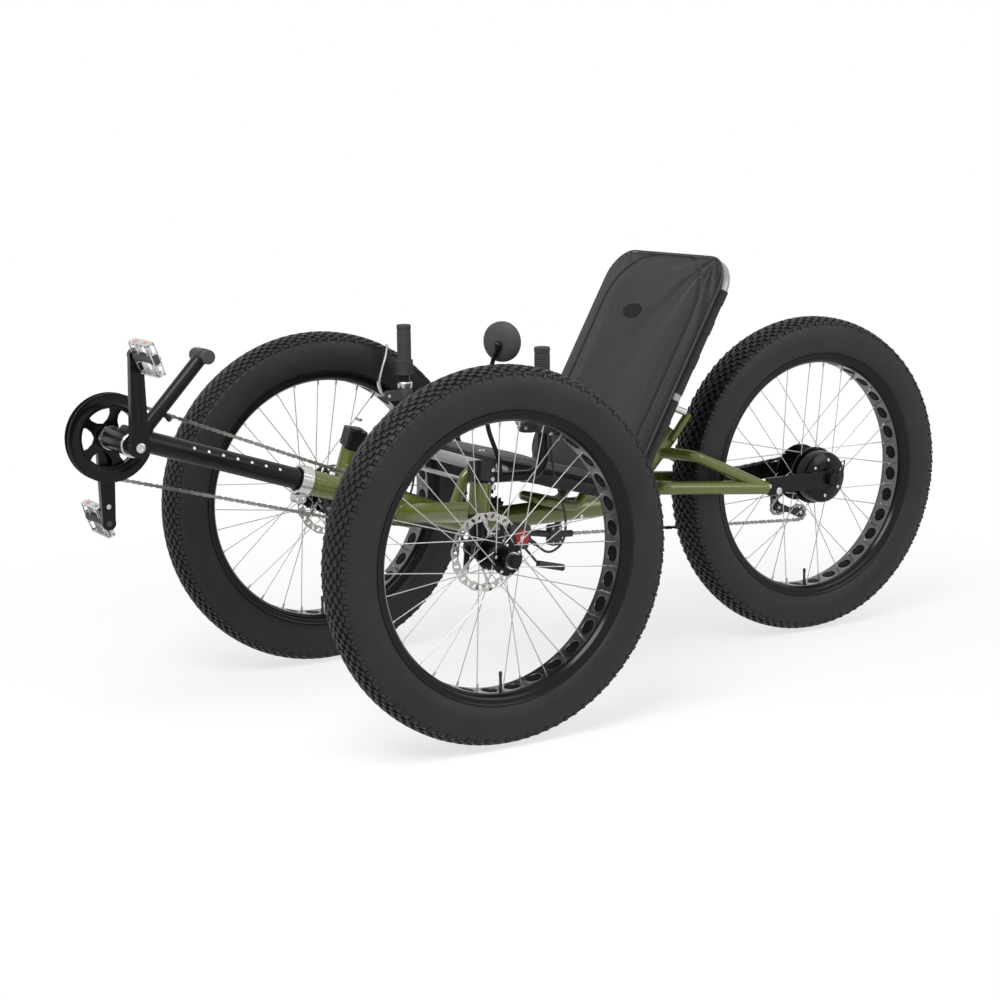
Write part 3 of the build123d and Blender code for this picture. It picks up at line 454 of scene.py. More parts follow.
def band(x0: float, x1: float, r0: float, r1: float) -> Outline:
    """Profile of a plain ring from x0 to x1 along its axis, with radii r0 and r1."""
    return (x0, r0), (x0, r1), (x1, r1), (x1, r0)


def walk_round(corners: Outline, per_side: int) -> Outline:
    """Even points along a closed outline.

    Args:
        corners: The outline's corners.
        per_side: How many points each side gets.

    Returns:
        The points, each corner the first of its side.
    """
    return [(a + (c - a) * k / per_side, b + (d - b) * k / per_side)
            for (a, b), (c, d) in zip(corners, (*corners[1:], corners[0])) for k in range(per_side)]


def link_outline(length: float, r: float, waist: float, step: int) -> Outline:
    """Outline of a flat link with two round ends and a waist.

    Args:
        length: Distance between the ends' centres.
        r: Radius of the ends.
        waist: Half the width at the middle.
        step: Degrees between two points of an end.

    Returns:
        Corners, the first end at (0, 0).
    """
    outline = []
    for base, first, dip in ((0.0, 90, -waist), (length, -90, waist)):
        for k in range(180 // step + 1):
            a = math.radians(first + step * k)
            outline.append((base + math.cos(a) * r, math.sin(a) * r))
        outline.append((length / 2, dip))
    return outline


class Shape:
    """A mesh under construction, in the trike's frame."""

    def __init__(self) -> None:
        """Starts an empty mesh."""
        self.bm = bmesh.new()

    def rings(self, rings: Sequence[Ring], closed: bool = True, caps: bool = False) -> None:
        """Joins rings of equally many points by quads.

        Args:
            rings: The rings in order.
            closed: Whether each ring is a loop.
            caps: Whether the first and last ring are filled.
        """
        rows = [[self.bm.verts.new(p) for p in ring] for ring in rings]
        count = len(rows[0])
        for low, high in zip(rows, rows[1:]):
            for i in range(count if closed else count - 1):
                j = (i + 1) % count
                self.bm.faces.new((low[i], low[j], high[j], high[i]))
        if caps:
            self.bm.faces.new(rows[0][::-1])
            self.bm.faces.new(rows[-1])

    def tube(self, points: Sequence[Vector], radius: Union[float, Sequence[float]], sides: int = 12) -> None:
        """Round rod along points, with flat ends.

        Args:
            points: Places on the rod's axis.
            radius: One radius in millimetres, or one for each point.
            sides: Sides of the round.
        """
        radii = [radius] * len(points) if isinstance(radius, (int, float)) else list(radius)
        normal: Optional[Vector] = None
        rings = []
        for i, point in enumerate(points):
            before, after = points[max(i - 1, 0)], points[min(i + 1, len(points) - 1)]
            way = (after - before).normalized()
            if normal is None:
                normal = way.orthogonal().normalized()
            normal = (normal - way * normal.dot(way)).normalized()
            side = way.cross(normal)
            rings.append([point + (normal * math.cos(a) + side * math.sin(a)) * radii[i] * MM
                          for a in turns(sides)])
        self.rings(rings, caps=True)

    def block(self, centre: Vector, size: tuple[float, float, float], turn: Matrix, bevel: float) -> None:
        """Box with small chamfers on every edge.

        Args:
            centre: Its middle.
            size: Its full sizes along its own axes in millimetres.
            turn: Its rotation.
            bevel: Chamfer width in millimetres.
        """
        made = bmesh.ops.create_cube(self.bm, size=1.0)["verts"]
        for vert in made:
            vert.co = centre + turn @ Vector(c * s * MM for c, s in zip(vert.co, size))
        edges = list({e for v in made for e in v.link_edges})
        bmesh.ops.bevel(self.bm, geom=edges, offset=bevel * MM, segments=2, affect="EDGES", profile=0.6)

    def spin(self, profile: Outline, centre: Vector, axis: Vector, start: Vector, steps: int,
             closed: bool = True) -> None:
        """Revolves a profile of (along, radius) about an axis.

        Args:
            profile: Pairs of distance along the axis and radius in millimetres.
            centre: Origin of both.
            axis: Direction of the axis.
            start: Direction of angle 0.
            steps: Segments of the full turn.
            closed: Whether the profile is a closed outline.
        """
        side = axis.cross(start)
        rings = []
        for a in turns(steps):
            out = start * math.cos(a) + side * math.sin(a)
            rings.append([centre + axis * (along * MM) + out * (radius * MM) for along, radius in profile])
        rings.append(rings[0])
        self.rings(rings, closed=closed)

    def prism(self, outline: Outline, origin: Vector, across: Vector, along: Vector, depth: float,
              chamfer: float = 0.0) -> None:
        """Flat plate with a drawn outline, centred on its plane; sizes are in millimetres.

        Args:
            outline: Corners as pairs of distances along the two directions.
            origin: Place of (0, 0).
            across: First direction.
            along: Second direction.
            depth: Full thickness.
            chamfer: How far the two faces are drawn in.
        """
        out = across.cross(along).normalized()
        mid_a = sum(a for a, _ in outline) / len(outline)
        mid_b = sum(b for _, b in outline) / len(outline)
        rings = []
        levels = [(-0.5, chamfer), (-0.5, 0.0), (0.5, 0.0), (0.5, chamfer)]
        if not chamfer:
            levels = levels[1:3]
        for level, draw in levels:
            ring = []
            for a, b in outline:
                reach = math.hypot(a - mid_a, b - mid_b)
                keep = 1 - min(draw / reach, 1.0) if reach else 1.0
                lift = depth * level + (0.0 if draw else math.copysign(chamfer, -level))
                flat = across * (mid_a + (a - mid_a) * keep) + along * (mid_b + (b - mid_b) * keep)
                ring.append(origin + (flat + out * lift) * MM)
            rings.append(ring)
        self.rings(rings, caps=True)

    def bolt(self, place: Vector, way: Vector, head: float, height: float) -> None:
        """Round bolt head with a socket.

        Args:
            place: Middle of its underside.
            way: Direction that it faces.
            head: Radius of the head in millimetres.
            height: Height of the head in millimetres.
        """
        axis = way.normalized()
        profile = ((-0.5 * height, 0.0), (-0.5 * height, head), (height * 0.75, head), (height, head * 0.8),
                   (height, head * 0.5), (height * 0.4, head * 0.45), (height * 0.4, 0.0))
        self.spin(profile, place, axis, axis.orthogonal().normalized(), 12, closed=False)

    def weld(self, foot: Vector, way: Vector, radius: float, trunk: Vector, trunk_way: Vector, trunk_r: float,
             bead: float = 2.2) -> None:
        """Rippled weld bead where a round tube meets a thicker one.

        Args:
            foot: Point of the branch's axis, outside the trunk.
            way: Direction of the branch, towards the trunk.
            radius: Radius of the branch in millimetres.
            trunk: Point of the trunk's axis.
            trunk_way: Direction of the trunk.
            trunk_r: Radius of the trunk in millimetres.
            bead: Radius of the bead in millimetres.
        """
        way, trunk_way = way.normalized(), trunk_way.normalized()
        normal = way.orthogonal().normalized()
        side = way.cross(normal)
        flat_way = way - trunk_way * way.dot(trunk_way)
        points, steps = [], 72
        for a in turns(steps):
            start = foot + (normal * math.cos(a) + side * math.sin(a)) * radius * MM
            gap = (start - trunk) - trunk_way * (start - trunk).dot(trunk_way)
            aa, bb, cc = flat_way.dot(flat_way), 2 * gap.dot(flat_way), gap.dot(gap) - (trunk_r * MM) ** 2
            root = max(bb * bb - 4 * aa * cc, 0.0)
            points.append(start + way * ((-bb - math.sqrt(root)) / (2 * aa)))
        points.append(points[0])
        radii = [bead * (0.85 + 0.2 * (k % 2)) for k in range(steps)] + [bead * 0.85]
        self.tube(points, radii, sides=8)

    def finish(self, name: str, finish: AnyFinish, body: str, slot: str, smooth: float = 40.0,
               replaces: str = "") -> bpy.types.Object:
        """Turns the mesh into a piece that rides on a body.

        Args:
            name: The piece's name.
            finish: Its finish.
            body: The body that carries it.
            slot: The record's material slot; not used.
            smooth: Edges up to this many degrees are shaded smooth.
            replaces: The CAD node that it stands for, if it replaces one.

        Returns:
            The new object.
        """
        bmesh.ops.remove_doubles(self.bm, verts=self.bm.verts, dist=MERGE)
        bmesh.ops.recalc_face_normals(self.bm, faces=self.bm.faces)
        mesh = bpy.data.meshes.new(name)
        self.bm.to_mesh(mesh)
        self.bm.free()
        mesh.materials.append(material_of(finish))
        piece = bpy.data.objects.new(name, mesh)
        bpy.context.scene.collection.objects.link(piece)
        mesh.shade_smooth()
        mesh.set_sharp_from_angle(angle=math.radians(smooth))
        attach(piece, body)
        if replaces:
            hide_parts(replaces)
        log.info("%s: %d faces on %s", name, len(mesh.polygons), body)
        return piece


FRONT_Y = -383.5 * MM
KINGPIN_LEAN, CASTER, SPINE_SLOPE = math.radians(12.5), math.radians(12.0), math.radians(18.26)
REAR_AXLE = (1090.0, 375.0)  # behind the front axle and over the floor, in millimetres
CRANK_AXLE = (-610.0, 605.0)
MAST_FOOT = (552.0, 362.0)


def at(x: float, behind: float, z: float) -> Vector:
    """Place given in millimetres: across, behind the front axle and above the floor."""
    return Vector((x * MM, FRONT_Y + behind * MM, z * MM))


def lean(degrees: float) -> Vector:
    """Direction backwards and up at an angle over the floor."""
    return Vector((0.0, math.cos(math.radians(degrees)), math.sin(math.radians(degrees))))


def kingpin(side: int, z: float) -> Vector:
    """Point of a kingpin's axis at a height in millimetres."""
    x = side * (389.0 - z * math.tan(KINGPIN_LEAN))
    return at(x, (z - 375.0) * math.tan(CASTER), z)


def spine_z(behind: float) -> float:
    """Height of the sloping tube's axis, both in millimetres."""
    return 617.0 - (610.0 + behind) * math.tan(SPINE_SLOPE)


def smooth_line(points: Sequence[Vector], steps: int = 6) -> Ring:
    """Even curve through points, several steps between each two.

    Args:
        points: Places on the curve.
        steps: Steps between two places.

    Returns:
        The curve's points.
    """
    line = []
    for i in range(len(points) - 1):
        p0, p1 = points[max(i - 1, 0)], points[i]
        p2, p3 = points[i + 1], points[min(i + 2, len(points) - 1)]
        for k in range(steps):
            t = k / steps
            line.append(((p1 * 2) + (p2 - p0) * t + (p0 * 2 - p1 * 5 + p2 * 4 - p3) * t * t
                         + (p1 * 3 - p0 - p2 * 3 + p3) * t ** 3) / 2)
    return line + [points[-1]]


def dress(finish: Finish, *nodes: str) -> None:
    """Gives CAD nodes a finish in all their material slots.

    Args:
        finish: The finish.
        nodes: Names of the nodes.
    """
    material = material_of(finish)
    for node in nodes:
        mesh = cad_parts[node].data
        if not mesh.materials:
            mesh.materials.append(material)
        for index in range(len(mesh.materials)):
            mesh.materials[index] = material


# ---- Wheels ----
@dataclass
class Wheel:
    """One wheel: knobbly fat tyre, drilled rim with its strip, nipples and valve; sizes are in millimetres."""

    name: str
    body: str
    lug_height: float = 7.0
    tyre_width: float = 98.0
    rim_r: float = 266.0
    rim_width: float = 80.0
    flange_r: float = 288.0
    rim_wall: float = 2.6
    holes: int = 32
    hole_r: float = 16.5
    shoulder: float = 43.0
    lug_rows: tuple[tuple[float, float, float, float, int], ...] = (
        # lateral place, length round the tyre, width, height, phase in halves of the pitch
        (5.0, 15.5, 8.4, 4.4, 0),
        (14.6, 13.0, 8.4, 4.6, 1),
        (24.0, 15.0, 8.2, 4.4, 0),
        (32.8, 12.5, 7.6, 4.2, 1),
        (40.4, 12.5, 6.6, 4.0, 0),
    )
    lugs_round: int = 98
    centre: Vector = field(init=False)
    outer_r: float = field(init=False)

    def __post_init__(self) -> None:
        """Reads the wheel's centre and radius from its tyre's box."""
        low, high = (Vector(c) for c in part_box(f"{self.name}_tyre"))
        self.centre = (low + high) / 2
        self.outer_r = (high.z - low.z) / 2 / MM

    def casing_radius(self, across: float) -> float:
        """Radius of the casing under the lugs at a distance from the middle plane."""
        return self.outer_r - self.lug_height - 12.0 * (across / 44.0) ** 2.2

    def build(self) -> None:
        """Builds every piece of the wheel and dresses its CAD nodes."""
        rubber = TyreRubber(f"{self.name}_rubber", (0.0085, 0.0098, 0.0086), tuple(self.centre))
        self.casing(rubber)
        self.tread(rubber)
        self.rim()
        self.strip()
        self.nipples()
        dress(Finish.STEEL, f"{self.name}_spokes")
        dress(Finish.GLOSS_BLACK, f"{self.name}_hub")
        if self.name != "rear":
            self.hub_bolts()

    def hub_bolts(self) -> None:
        """Bolts round the outer end of a front hub and its axle nut's washer."""
        bolts = Shape()
        out = ACROSS * (1 if self.centre.x > 0 else -1)
        for a in turns(5, 0.3):
            bolts.bolt(self.centre + (out * 32 + radial(a) * 27) * MM, out, 3.2, 1.8)
        bolts.spin(band(50.1, 50.9, 10.2, 17.0), self.centre, out, UP, 32)
        bolts.finish(f"{self.name}_hub_bolts", Finish.SILVER, self.body, "spoke_steel")

    def casing(self, rubber: TyreRubber) -> None:
        """Tyre casing from bead to bead, hollow inside.

        Args:
            rubber: The tyre's finish.
        """
        shape = Shape()
        half = self.tyre_width / 2
        bead = self.rim_width / 2 - self.rim_wall + 1.0
        wide_r = (self.rim_r + self.outer_r) / 2 + 4
        foot_r, top = self.flange_r + 1, self.casing_radius(self.shoulder)
        outer = [(bead - 1.5, self.flange_r - 6), (bead, foot_r)]
        steps = 9
        arc = [(math.sin(t), math.cos(t)) for t in (math.pi / 2 * k / steps for k in range(1, steps + 1))]
        outer += [(bead + (half - bead) * s, wide_r - (wide_r - foot_r) * c) for s, c in arc]
        outer += [(self.shoulder + (half - self.shoulder) * c, wide_r + (top - wide_r) * s) for s, c in arc[:-1]]
        outer += [(x, self.casing_radius(x)) for x in (self.shoulder, 36.0, 27.0, 18.0, 9.0, 0.0)]
        profile = outer + [(-x, r) for x, r in outer[-2::-1]]
        inner = [(x * 0.9, r - 4) for x, r in profile if r > self.flange_r + 4]
        shape.spin(profile + inner[::-1], self.centre, ACROSS, UP, 160)
        shape.finish(f"{self.name}_casing", rubber, self.body, "tyre_rubber", smooth=50,
                     replaces=f"{self.name}_tyre")

    def tread(self, rubber: TyreRubber) -> None:
        """Rows of tapered knobs round the crown and shoulders.

        Args:
            rubber: The tyre's finish.
        """
        shape = Shape()
        for side in (1, -1):
            for across, length, width, height, phase in self.lug_rows:
                for angle in turns(self.lugs_round, phase / 2 + (0.25 if side < 0 else 0.0)):
                    self.knob(shape, angle, side * across, length, width, height)
        for k, angle in enumerate(turns(self.lugs_round, 0.5)):
            for side in (1, -1):
                self.side_knob(shape, angle, side, k % 2 == 0)
        shape.finish(f"{self.name}_tread", rubber, self.body, "tyre_rubber", smooth=25,
                     replaces=f"{self.name}_tyre")

    def knob(self, shape: Shape, angle: float, across: float, length: float, width: float, height: float) -> None:
        """One tread knob standing on the casing.

        Args:
            shape: Mesh that takes it.
            angle: Place round the wheel.
            across: Place across the tyre.
            length: Size round the wheel.
            width: Size across the tyre.
            height: Height over the casing.
        """
        slope = math.atan2(self.casing_radius(abs(across) + 2) - self.casing_radius(abs(across) - 2), 4)
        tilt = -slope if across > 0 else slope
        out, side = (Vector((math.sin(a), 0, math.cos(a))) for a in (tilt, tilt + math.pi / 2))
        turn = Matrix.Rotation(-angle, 3, "X")
        base = Vector((across, 0, self.casing_radius(abs(across)) - 1))
        limit = self.outer_r - 0.1
        rings = []
        for level, shrink in ((0.0, 1.12), (0.82, 0.92), (1.0, 0.74)):
            ring = []
            for w, l in rect(-1, -1, 1, 1):
                corner = base + out * (height + 1) * level + (side * w * width + BEHIND * l * length) / 2 * shrink
                place = turn @ corner
                pull = min(1.0, limit / math.hypot(place.y, place.z))
                ring.append(self.centre + Vector((place.x, place.y * pull, place.z * pull)) * MM)
            rings.append(ring)
        shape.rings(rings, caps=True)

    def side_knob(self, shape: Shape, angle: float, side: int, long: bool) -> None:
        """One shoulder knob that stands out sideways.

        Args:
            shape: Mesh that takes it.
            angle: Place round the wheel.
            side: 1 for the left shoulder, -1 for the right.
            long: Every second knob reaches further down the sidewall.
        """
        turn = Matrix.Rotation(-angle, 3, "X")
        low_r, half = (self.outer_r - 27.0, 5.0) if long else (self.outer_r - 22.0, 4.0)
        high_r = self.outer_r - 13.0
        rings = []
        for x_low, x_high, grow in ((43.5, 39.5, 1.15), (47.6, 44.8, 0.8)):
            corners = ((x_low, -1, low_r), (x_low, 1, low_r), (x_high, 1, high_r), (x_high, -1, high_r))
            rings.append([self.centre + turn @ Vector((side * x, y * half * grow, z)) * MM
                          for x, y, z in corners])
        shape.rings(rings, caps=True)

    def rim(self) -> None:
        """Drilled rim: a bed with round holes between two stepped sides."""
        shape, bed = Shape(), Shape()
        bed_half, per_side = 25.0, 6
        self.drilled_bed(bed, bed_half, per_side)
        edge = self.rim_width / 2
        over_bed = ((0.0, 0.0), (2.6, 0.9), (3.2, 2.2), (4.4, 2.2), (5.0, 1.6))
        profile = [(bed_half + x, self.rim_r + r) for x, r in over_bed]
        profile += [(edge - x, self.rim_r + r) for x, r in ((5, 5), (2.5, 7), (1.2, 12))]
        profile += [(edge - x, self.flange_r - r) for x, r in ((1.2, 3), (0, 1.5), (1.5, 0), (3.2, 1.5))]
        profile += [(edge - 4, self.rim_r + 12), (edge - 8, self.rim_r + 7.5), (bed_half, self.rim_r + 2.6)]
        steps = self.holes * per_side
        for side in (1, -1):
            shape.spin([(side * x, r) for x, r in profile], self.centre, ACROSS, UP, steps, closed=False)
        for part, name, finish in ((shape, "rim_sides", Finish.GLOSS_BLACK), (bed, "drilled_rim", Finish.RIM_BED)):
            part.finish(f"{self.name}_{name}", finish, self.body, "rim_black", smooth=45,
                        replaces=f"{self.name}_rim")

    def drilled_bed(self, shape: Shape, half: float, per_side: int) -> None:
        """Adds the rim's bed, one holed cell after another.

        Args:
            shape: Mesh that takes it.
            half: Half the bed's width.
            per_side: Points along each side of a cell.
        """
        cell = 2 * math.pi / self.holes
        arc = self.rim_r * cell / 2
        walk = walk_round(((half, -arc), (half, arc), (-half, arc), (-half, -arc)), per_side)
        for index in range(self.holes):
            mid = (index + 0.5) * cell
            rings = []
            for grow, depth in ((0.0, 2.6), (1.0, 2.6), (0.97, 1.0), (1.0, 0.3), (1.08, 0.0), (0.0, 0.0)):
                ring = []
                for x, s in walk:
                    if grow:
                        a = math.atan2(s, x)
                        x, s = self.hole_r * grow * math.cos(a), self.hole_r * grow * math.sin(a)
                    ring.append(self.on_bed(x, mid + s / self.rim_r, depth))
                rings.append(ring)
            shape.rings(rings)

    def on_bed(self, x: float, angle: float, depth: float) -> Vector:
        """Point on the rim's bed, depth measured away from the axle."""
        r = self.rim_r + depth
        return self.centre + Vector((x, -r * math.sin(angle), r * math.cos(angle))) * MM

    def strip(self) -> None:
        """Rim strip that bulges into each hole."""
        shape = Shape()
        per_hole, rows, half = 10, 12, 27.0
        rings = []
        for k, angle in enumerate(turns(self.holes * per_hole)):
            s = ((k % per_hole) / per_hole - 0.5) * 2 * math.pi / self.holes * self.rim_r
            ring = []
            for j in range(rows + 1):
                x = (j / rows - 0.5) * 2 * half
                near = max(0.0, 1 - (x * x + s * s) / (self.hole_r * 0.98) ** 2)
                ring.append(self.on_bed(x, angle, 2.9 - 3.4 * near))
            rings.append(ring)
        rings.append(rings[0])
        shape.rings(rings, closed=False)
        shape.finish(f"{self.name}_rim_strip", Finish.TAPE, self.body, "black_plastic", smooth=80,
                     replaces=f"{self.name}_rim")

    def nipples(self) -> None:
        """Spoke nipples and the valve inside the rim."""
        shape, valve = Shape(), Shape()
        for number, angle in enumerate(turns(self.holes)):
            flange = 1 if number % 2 == 0 else -1
            lead = 1 if number % 4 < 2 else -1
            top = self.centre + (ACROSS * flange * (6 + lead * 2.5) + radial(angle) * self.rim_r) * MM
            inward = (self.centre - top).normalized()
            shape.tube([top + inward * d * MM for d in (-1, 4, 12)], (2.6, 2.3, 1.9), sides=8)
        shape.finish(f"{self.name}_nipples", Finish.SILVER, self.body, "spoke_steel")
        low = self.on_bed(0.0, math.pi, 0.0)
        valve.tube([low + UP * d * MM for d in (-1, 6, 7, 26, 27, 35)], (4.5, 4.2, 3.0, 3.0, 3.6, 3.4))
        valve.finish(f"{self.name}_valve", Finish.PLASTIC, self.body, "black_plastic")


# ---- Drive ----
@dataclass
class Drive:
    """Chain with its links, toothed wheels, guard, derailleur, crank bolts and pedals."""

    chain_x: float = -60.0
    link: float = 12.7
    plate_r: float = 3.9
    path: tuple[tuple[float, float, float], ...] = (
        # distance behind the front axle, height, pitch radius; negative where the chain bends the other way
        (-610.0, 605.0, 76.9),
        (-146.0, 415.0, 18.0),
        (417.0, 313.0, 18.0),
        (1121.0, 268.0, 18.0),
        (1053.0, 289.0, -18.0),
        (1090.0, 375.0, 33.0),
        (262.0, 373.0, -30.0),
    )
    chain_gap: float = 4.3
    ring_inner: float = 58.0
    crank: float = 175.0

    def build(self) -> None:
        """Builds every piece of the drive."""
        self.chain()
        self.chainring()
        self.cranks()
        self.idlers()
        self.cassette()
        self.derailleur()
        self.tube()
        for side, name in ((1, "left"), (-1, "right")):
            Pedal(name, side).build()

    def loop(self) -> list[tuple[float, float]]:
        """Closed line of the chain's pins.

        Returns:
            Points in millimetres, close together on the arcs.
        """
        circles = self.path
        marks = []
        for index, (y, z, r) in enumerate(circles):
            next_y, next_z, next_r = circles[(index + 1) % len(circles)]
            gap = math.hypot(next_y - y, next_z - z)
            heading = math.atan2(next_z - z, next_y - y) + math.asin((r - next_r) / gap)
            marks.append(heading)
        line = []
        for index, (y, z, r) in enumerate(circles):
            arrive, leave = marks[index - 1], marks[index]
            swing = (leave - arrive) % (2 * math.pi)
            if r < 0:
                swing -= 2 * math.pi
            steps = max(2, int(abs(swing) / math.radians(3)))
            for k in range(steps + 1):
                a = arrive + swing * k / steps
                line.append((y + math.sin(a) * r, z - math.cos(a) * r))
        return line + [line[0]]

    def pins(self) -> list[Vector]:
        """Spreads an even number of pins round the loop.

        Returns:
            Places of the chain's pins, a link apart.
        """
        line = self.loop()
        lengths = [math.dist(a, b) for a, b in zip(line, line[1:])]
        total = sum(lengths)
        count = 2 * round(total / self.link / 2)
        pitch, pins, done, index = total / count, [], 0.0, 0
        for k in range(count):
            while done + lengths[index] < k * pitch:
                done += lengths[index]
                index += 1
            share = (k * pitch - done) / lengths[index] if lengths[index] else 0.0
            a, b = line[index], line[index + 1]
            pins.append(at(self.chain_x, a[0] + (b[0] - a[0]) * share, a[1] + (b[1] - a[1]) * share))
        return pins

    def chain(self) -> None:
        """Chain of outer and inner link plates with rollers and pins."""
        shape = Shape()
        pins = self.pins()
        for index, start in enumerate(pins):
            end = pins[(index + 1) % len(pins)]
            way = (end - start).normalized()
            r, offset = (self.plate_r, 3.05) if index % 2 else (self.plate_r * 0.8, 2.1)
            outline = link_outline((end - start).length / MM, r, 0.72 * r, 45)
            for side in (1, -1):
                shape.prism(outline, start + ACROSS * (side * offset * MM), way, ACROSS.cross(way), 0.8)
            for half, rod, sides in ((1.9, 3.7, 8), (3.5, 1.7, 6)):
                shape.tube([start - ACROSS * half * MM, start + ACROSS * half * MM], rod, sides=sides)
        shape.finish("chain_links", Finish.BRIGHT, "frame", "chain_steel", replaces="chain")

    def cog(self, shape: Shape, centre: Vector, tip: float, inner: float, thick: float, turn: float = 0.0) -> None:
        """One toothed disc with a round hole.

        Args:
            shape: Mesh that takes it.
            centre: Its middle.
            tip: Radius of the teeth's tips in millimetres.
            inner: Radius of the hole in millimetres.
            thick: Thickness in millimetres.
            turn: Turn of the first tooth in teeth.
        """
        teeth = max(9, round(2 * math.pi * tip / self.link))
        outer, hole = [], []
        for k in range(teeth):
            for share, depth in ((0.0, 4.2), (0.22, 3.6), (0.42, 0.0), (0.58, 0.0), (0.78, 3.6)):
                way = radial(2 * math.pi * (k + share + turn) / teeth)
                outer.append(way * (tip - depth) * MM)
                hole.append(way * inner * MM)
        half = ACROSS * (thick / 2 * MM)
        shape.rings([[centre + side + p for p in ring] for side, ring in
                     ((half, hole), (half, outer), (-half, outer), (-half, hole), (half, hole))])

    def chainring(self) -> None:
        """Toothed ring behind a dished five-armed guard."""
        ring, guard, bolts = Shape(), Shape(), Shape()
        centre = at(self.chain_x, *CRANK_AXLE)
        self.cog(ring, centre, self.path[0][2] - self.chain_gap, self.ring_inner, 3.4)
        ring.spin(band(2.0, -6.5, self.ring_inner, self.ring_inner + 6), centre, ACROSS, BEHIND, 60)
        plane = centre - ACROSS * 11.5 * MM
        front = ((2.0, 60.0), (2.0, 84.0), (1.2, 87.2), (-0.6, 88.0), (-2.0, 86.8), (-2.0, 82.0), (-0.9, 78.0),
                 (-0.9, 66.0), (-2.0, 62.0), (-2.0, 58.5), (0.0, 57.5))
        back = ((15.2, 62.0), (15.2, 86.4), (16.0, 88.0), (17.4, 88.0), (18.0, 86.0), (17.4, 82.4), (16.8, 80.0),
                (16.8, 68.0), (17.8, 66.0), (17.8, 63.0), (17.0, 62.0))
        hub = ((2.0, 10.8), (2.0, 27.0), (0.0, 29.0), (-2.0, 27.0), (-2.0, 10.8))
        for profile, steps in ((front, 90), (back, 90), (hub, 48)):
            guard.spin(profile, plane, ACROSS, BEHIND, steps)
        half_arm = ((24.0, 16.0), (34.0, 10.5), (46.0, 9.0), (56.0, 12.5), (61.5, 21.0))
        arm = [(u, -v) for u, v in half_arm] + list(half_arm[::-1])
        for a in turns(5):
            way, post = radial(a), plane + radial(a) * 65 * MM
            guard.prism(arm, plane, way, radial(a + math.pi / 2), 3.6, 0.5)
            bolts.bolt(plane + (way * 61 - ACROSS * 2) * MM, -ACROSS, 4.2, 1.6)
            guard.tube([post, post + ACROSS * 15.4 * MM], 3.4, sides=10)
        for shape, name in ((ring, "chainring_teeth"), (guard, "chain_guard")):
            shape.finish(name, Finish.GLOSS_BLACK, "crank", "crank_black", replaces="chainring")
        bolts.finish("chainring_bolts", Finish.ROTOR, "crank", "spoke_steel")

    def cranks(self) -> None:
        """Bottom bracket cups, crank bolts and the ribs of the crank arms."""
        cups, bolts, ribs = Shape(), Shape(), Shape()
        mid = at(0.0, *CRANK_AXLE)
        cup = ((50.2, 10.4), (50.2, 21.0), (54.0, 21.0), (54.0, 24.0), (60.0, 24.0), (61.5, 22.0), (61.5, 10.4))
        rib = ((28.0, -1.7), (145.0, -1.3), (147.0, 0.0), (145.0, 1.3), (28.0, 1.7), (26.0, 0.0))
        for side in (1, -1):
            out = ACROSS * side
            cups.spin(cup, mid, out, UP, 16)
            bolts.bolt(mid + out * 100.2 * MM, out, 9.5, 2.6)
            for y in (-7.5, 6.0):
                ribs.prism(rib, mid + (out * 99.3 + BEHIND * y) * MM, UP * side, BEHIND, 1.4, 0.5)
        bolts.bolt(mid + Vector((-84.7, 0, 34 - self.crank)) * MM, ACROSS, 5.0, 1.2)
        ribs.finish("crank_ribs", Finish.GLOSS_BLACK, "crank", "crank_black")
        cups.finish("bottom_bracket_cups", Finish.SILVER, "frame", "spoke_steel", smooth=30)
        bolts.finish("crank_bolts", Finish.SILVER, "crank", "spoke_steel")

    def idlers(self) -> None:
        """Two idler wheels on their stub arms."""
        wheels, arms = Shape(), Shape()
        for behind, z, r in (self.path[1], self.path[6]):
            centre = at(self.chain_x, behind, z)
            tip = abs(r) - self.chain_gap
            self.cog(wheels, centre, tip, 5.0, 2.2, 0.3)
            for side in (1, -1):
                flange = ((side * 1.1, 5), (side * 4, 5), (side * 4, tip * 0.62), (side * 1.1, tip * 0.75))
                wheels.spin(flange, centre, ACROSS, UP, 24)
            start, inner = centre - ACROSS * 7 * MM, Vector((-12 * MM, centre.y, centre.z))
            arms.tube([start, inner], 4.9, sides=16)
            arms.bolt(start, -ACROSS, 6.0, 3.0)
            if r > 0:
                arms.tube([inner + Vector((-2, 0, up)) * MM for up in (-5, 40)], 6, sides=16)
        wheels.finish("idler_wheels", Finish.PLASTIC, "frame", "black_plastic", replaces="chain_idlers")
        arms.finish("idler_arms", Finish.CAST, "frame", "black_plastic", replaces="chain_idlers")

    def cassette(self) -> None:
        """Six sprockets on one carrier."""
        cogs, core = Shape(), Shape()
        hub = at(self.chain_x, *REAR_AXLE)
        for step in range(-2, 4):
            tip = 33.0 - self.chain_gap + max(step, step / 2) * 5.0
            self.cog(cogs, hub + ACROSS * step * 5 * MM, tip, 19.2, 2.0)
        core.spin(band(-10.0, 15.0, 19.2, 22.0), hub, ACROSS, UP, 36)
        cogs.finish("sprockets", Finish.ROTOR, "wheel_rear", "chain_steel", replaces="cassette")
        core.finish("sprocket_carrier", Finish.CAST, "wheel_rear", "chain_steel", replaces="cassette")

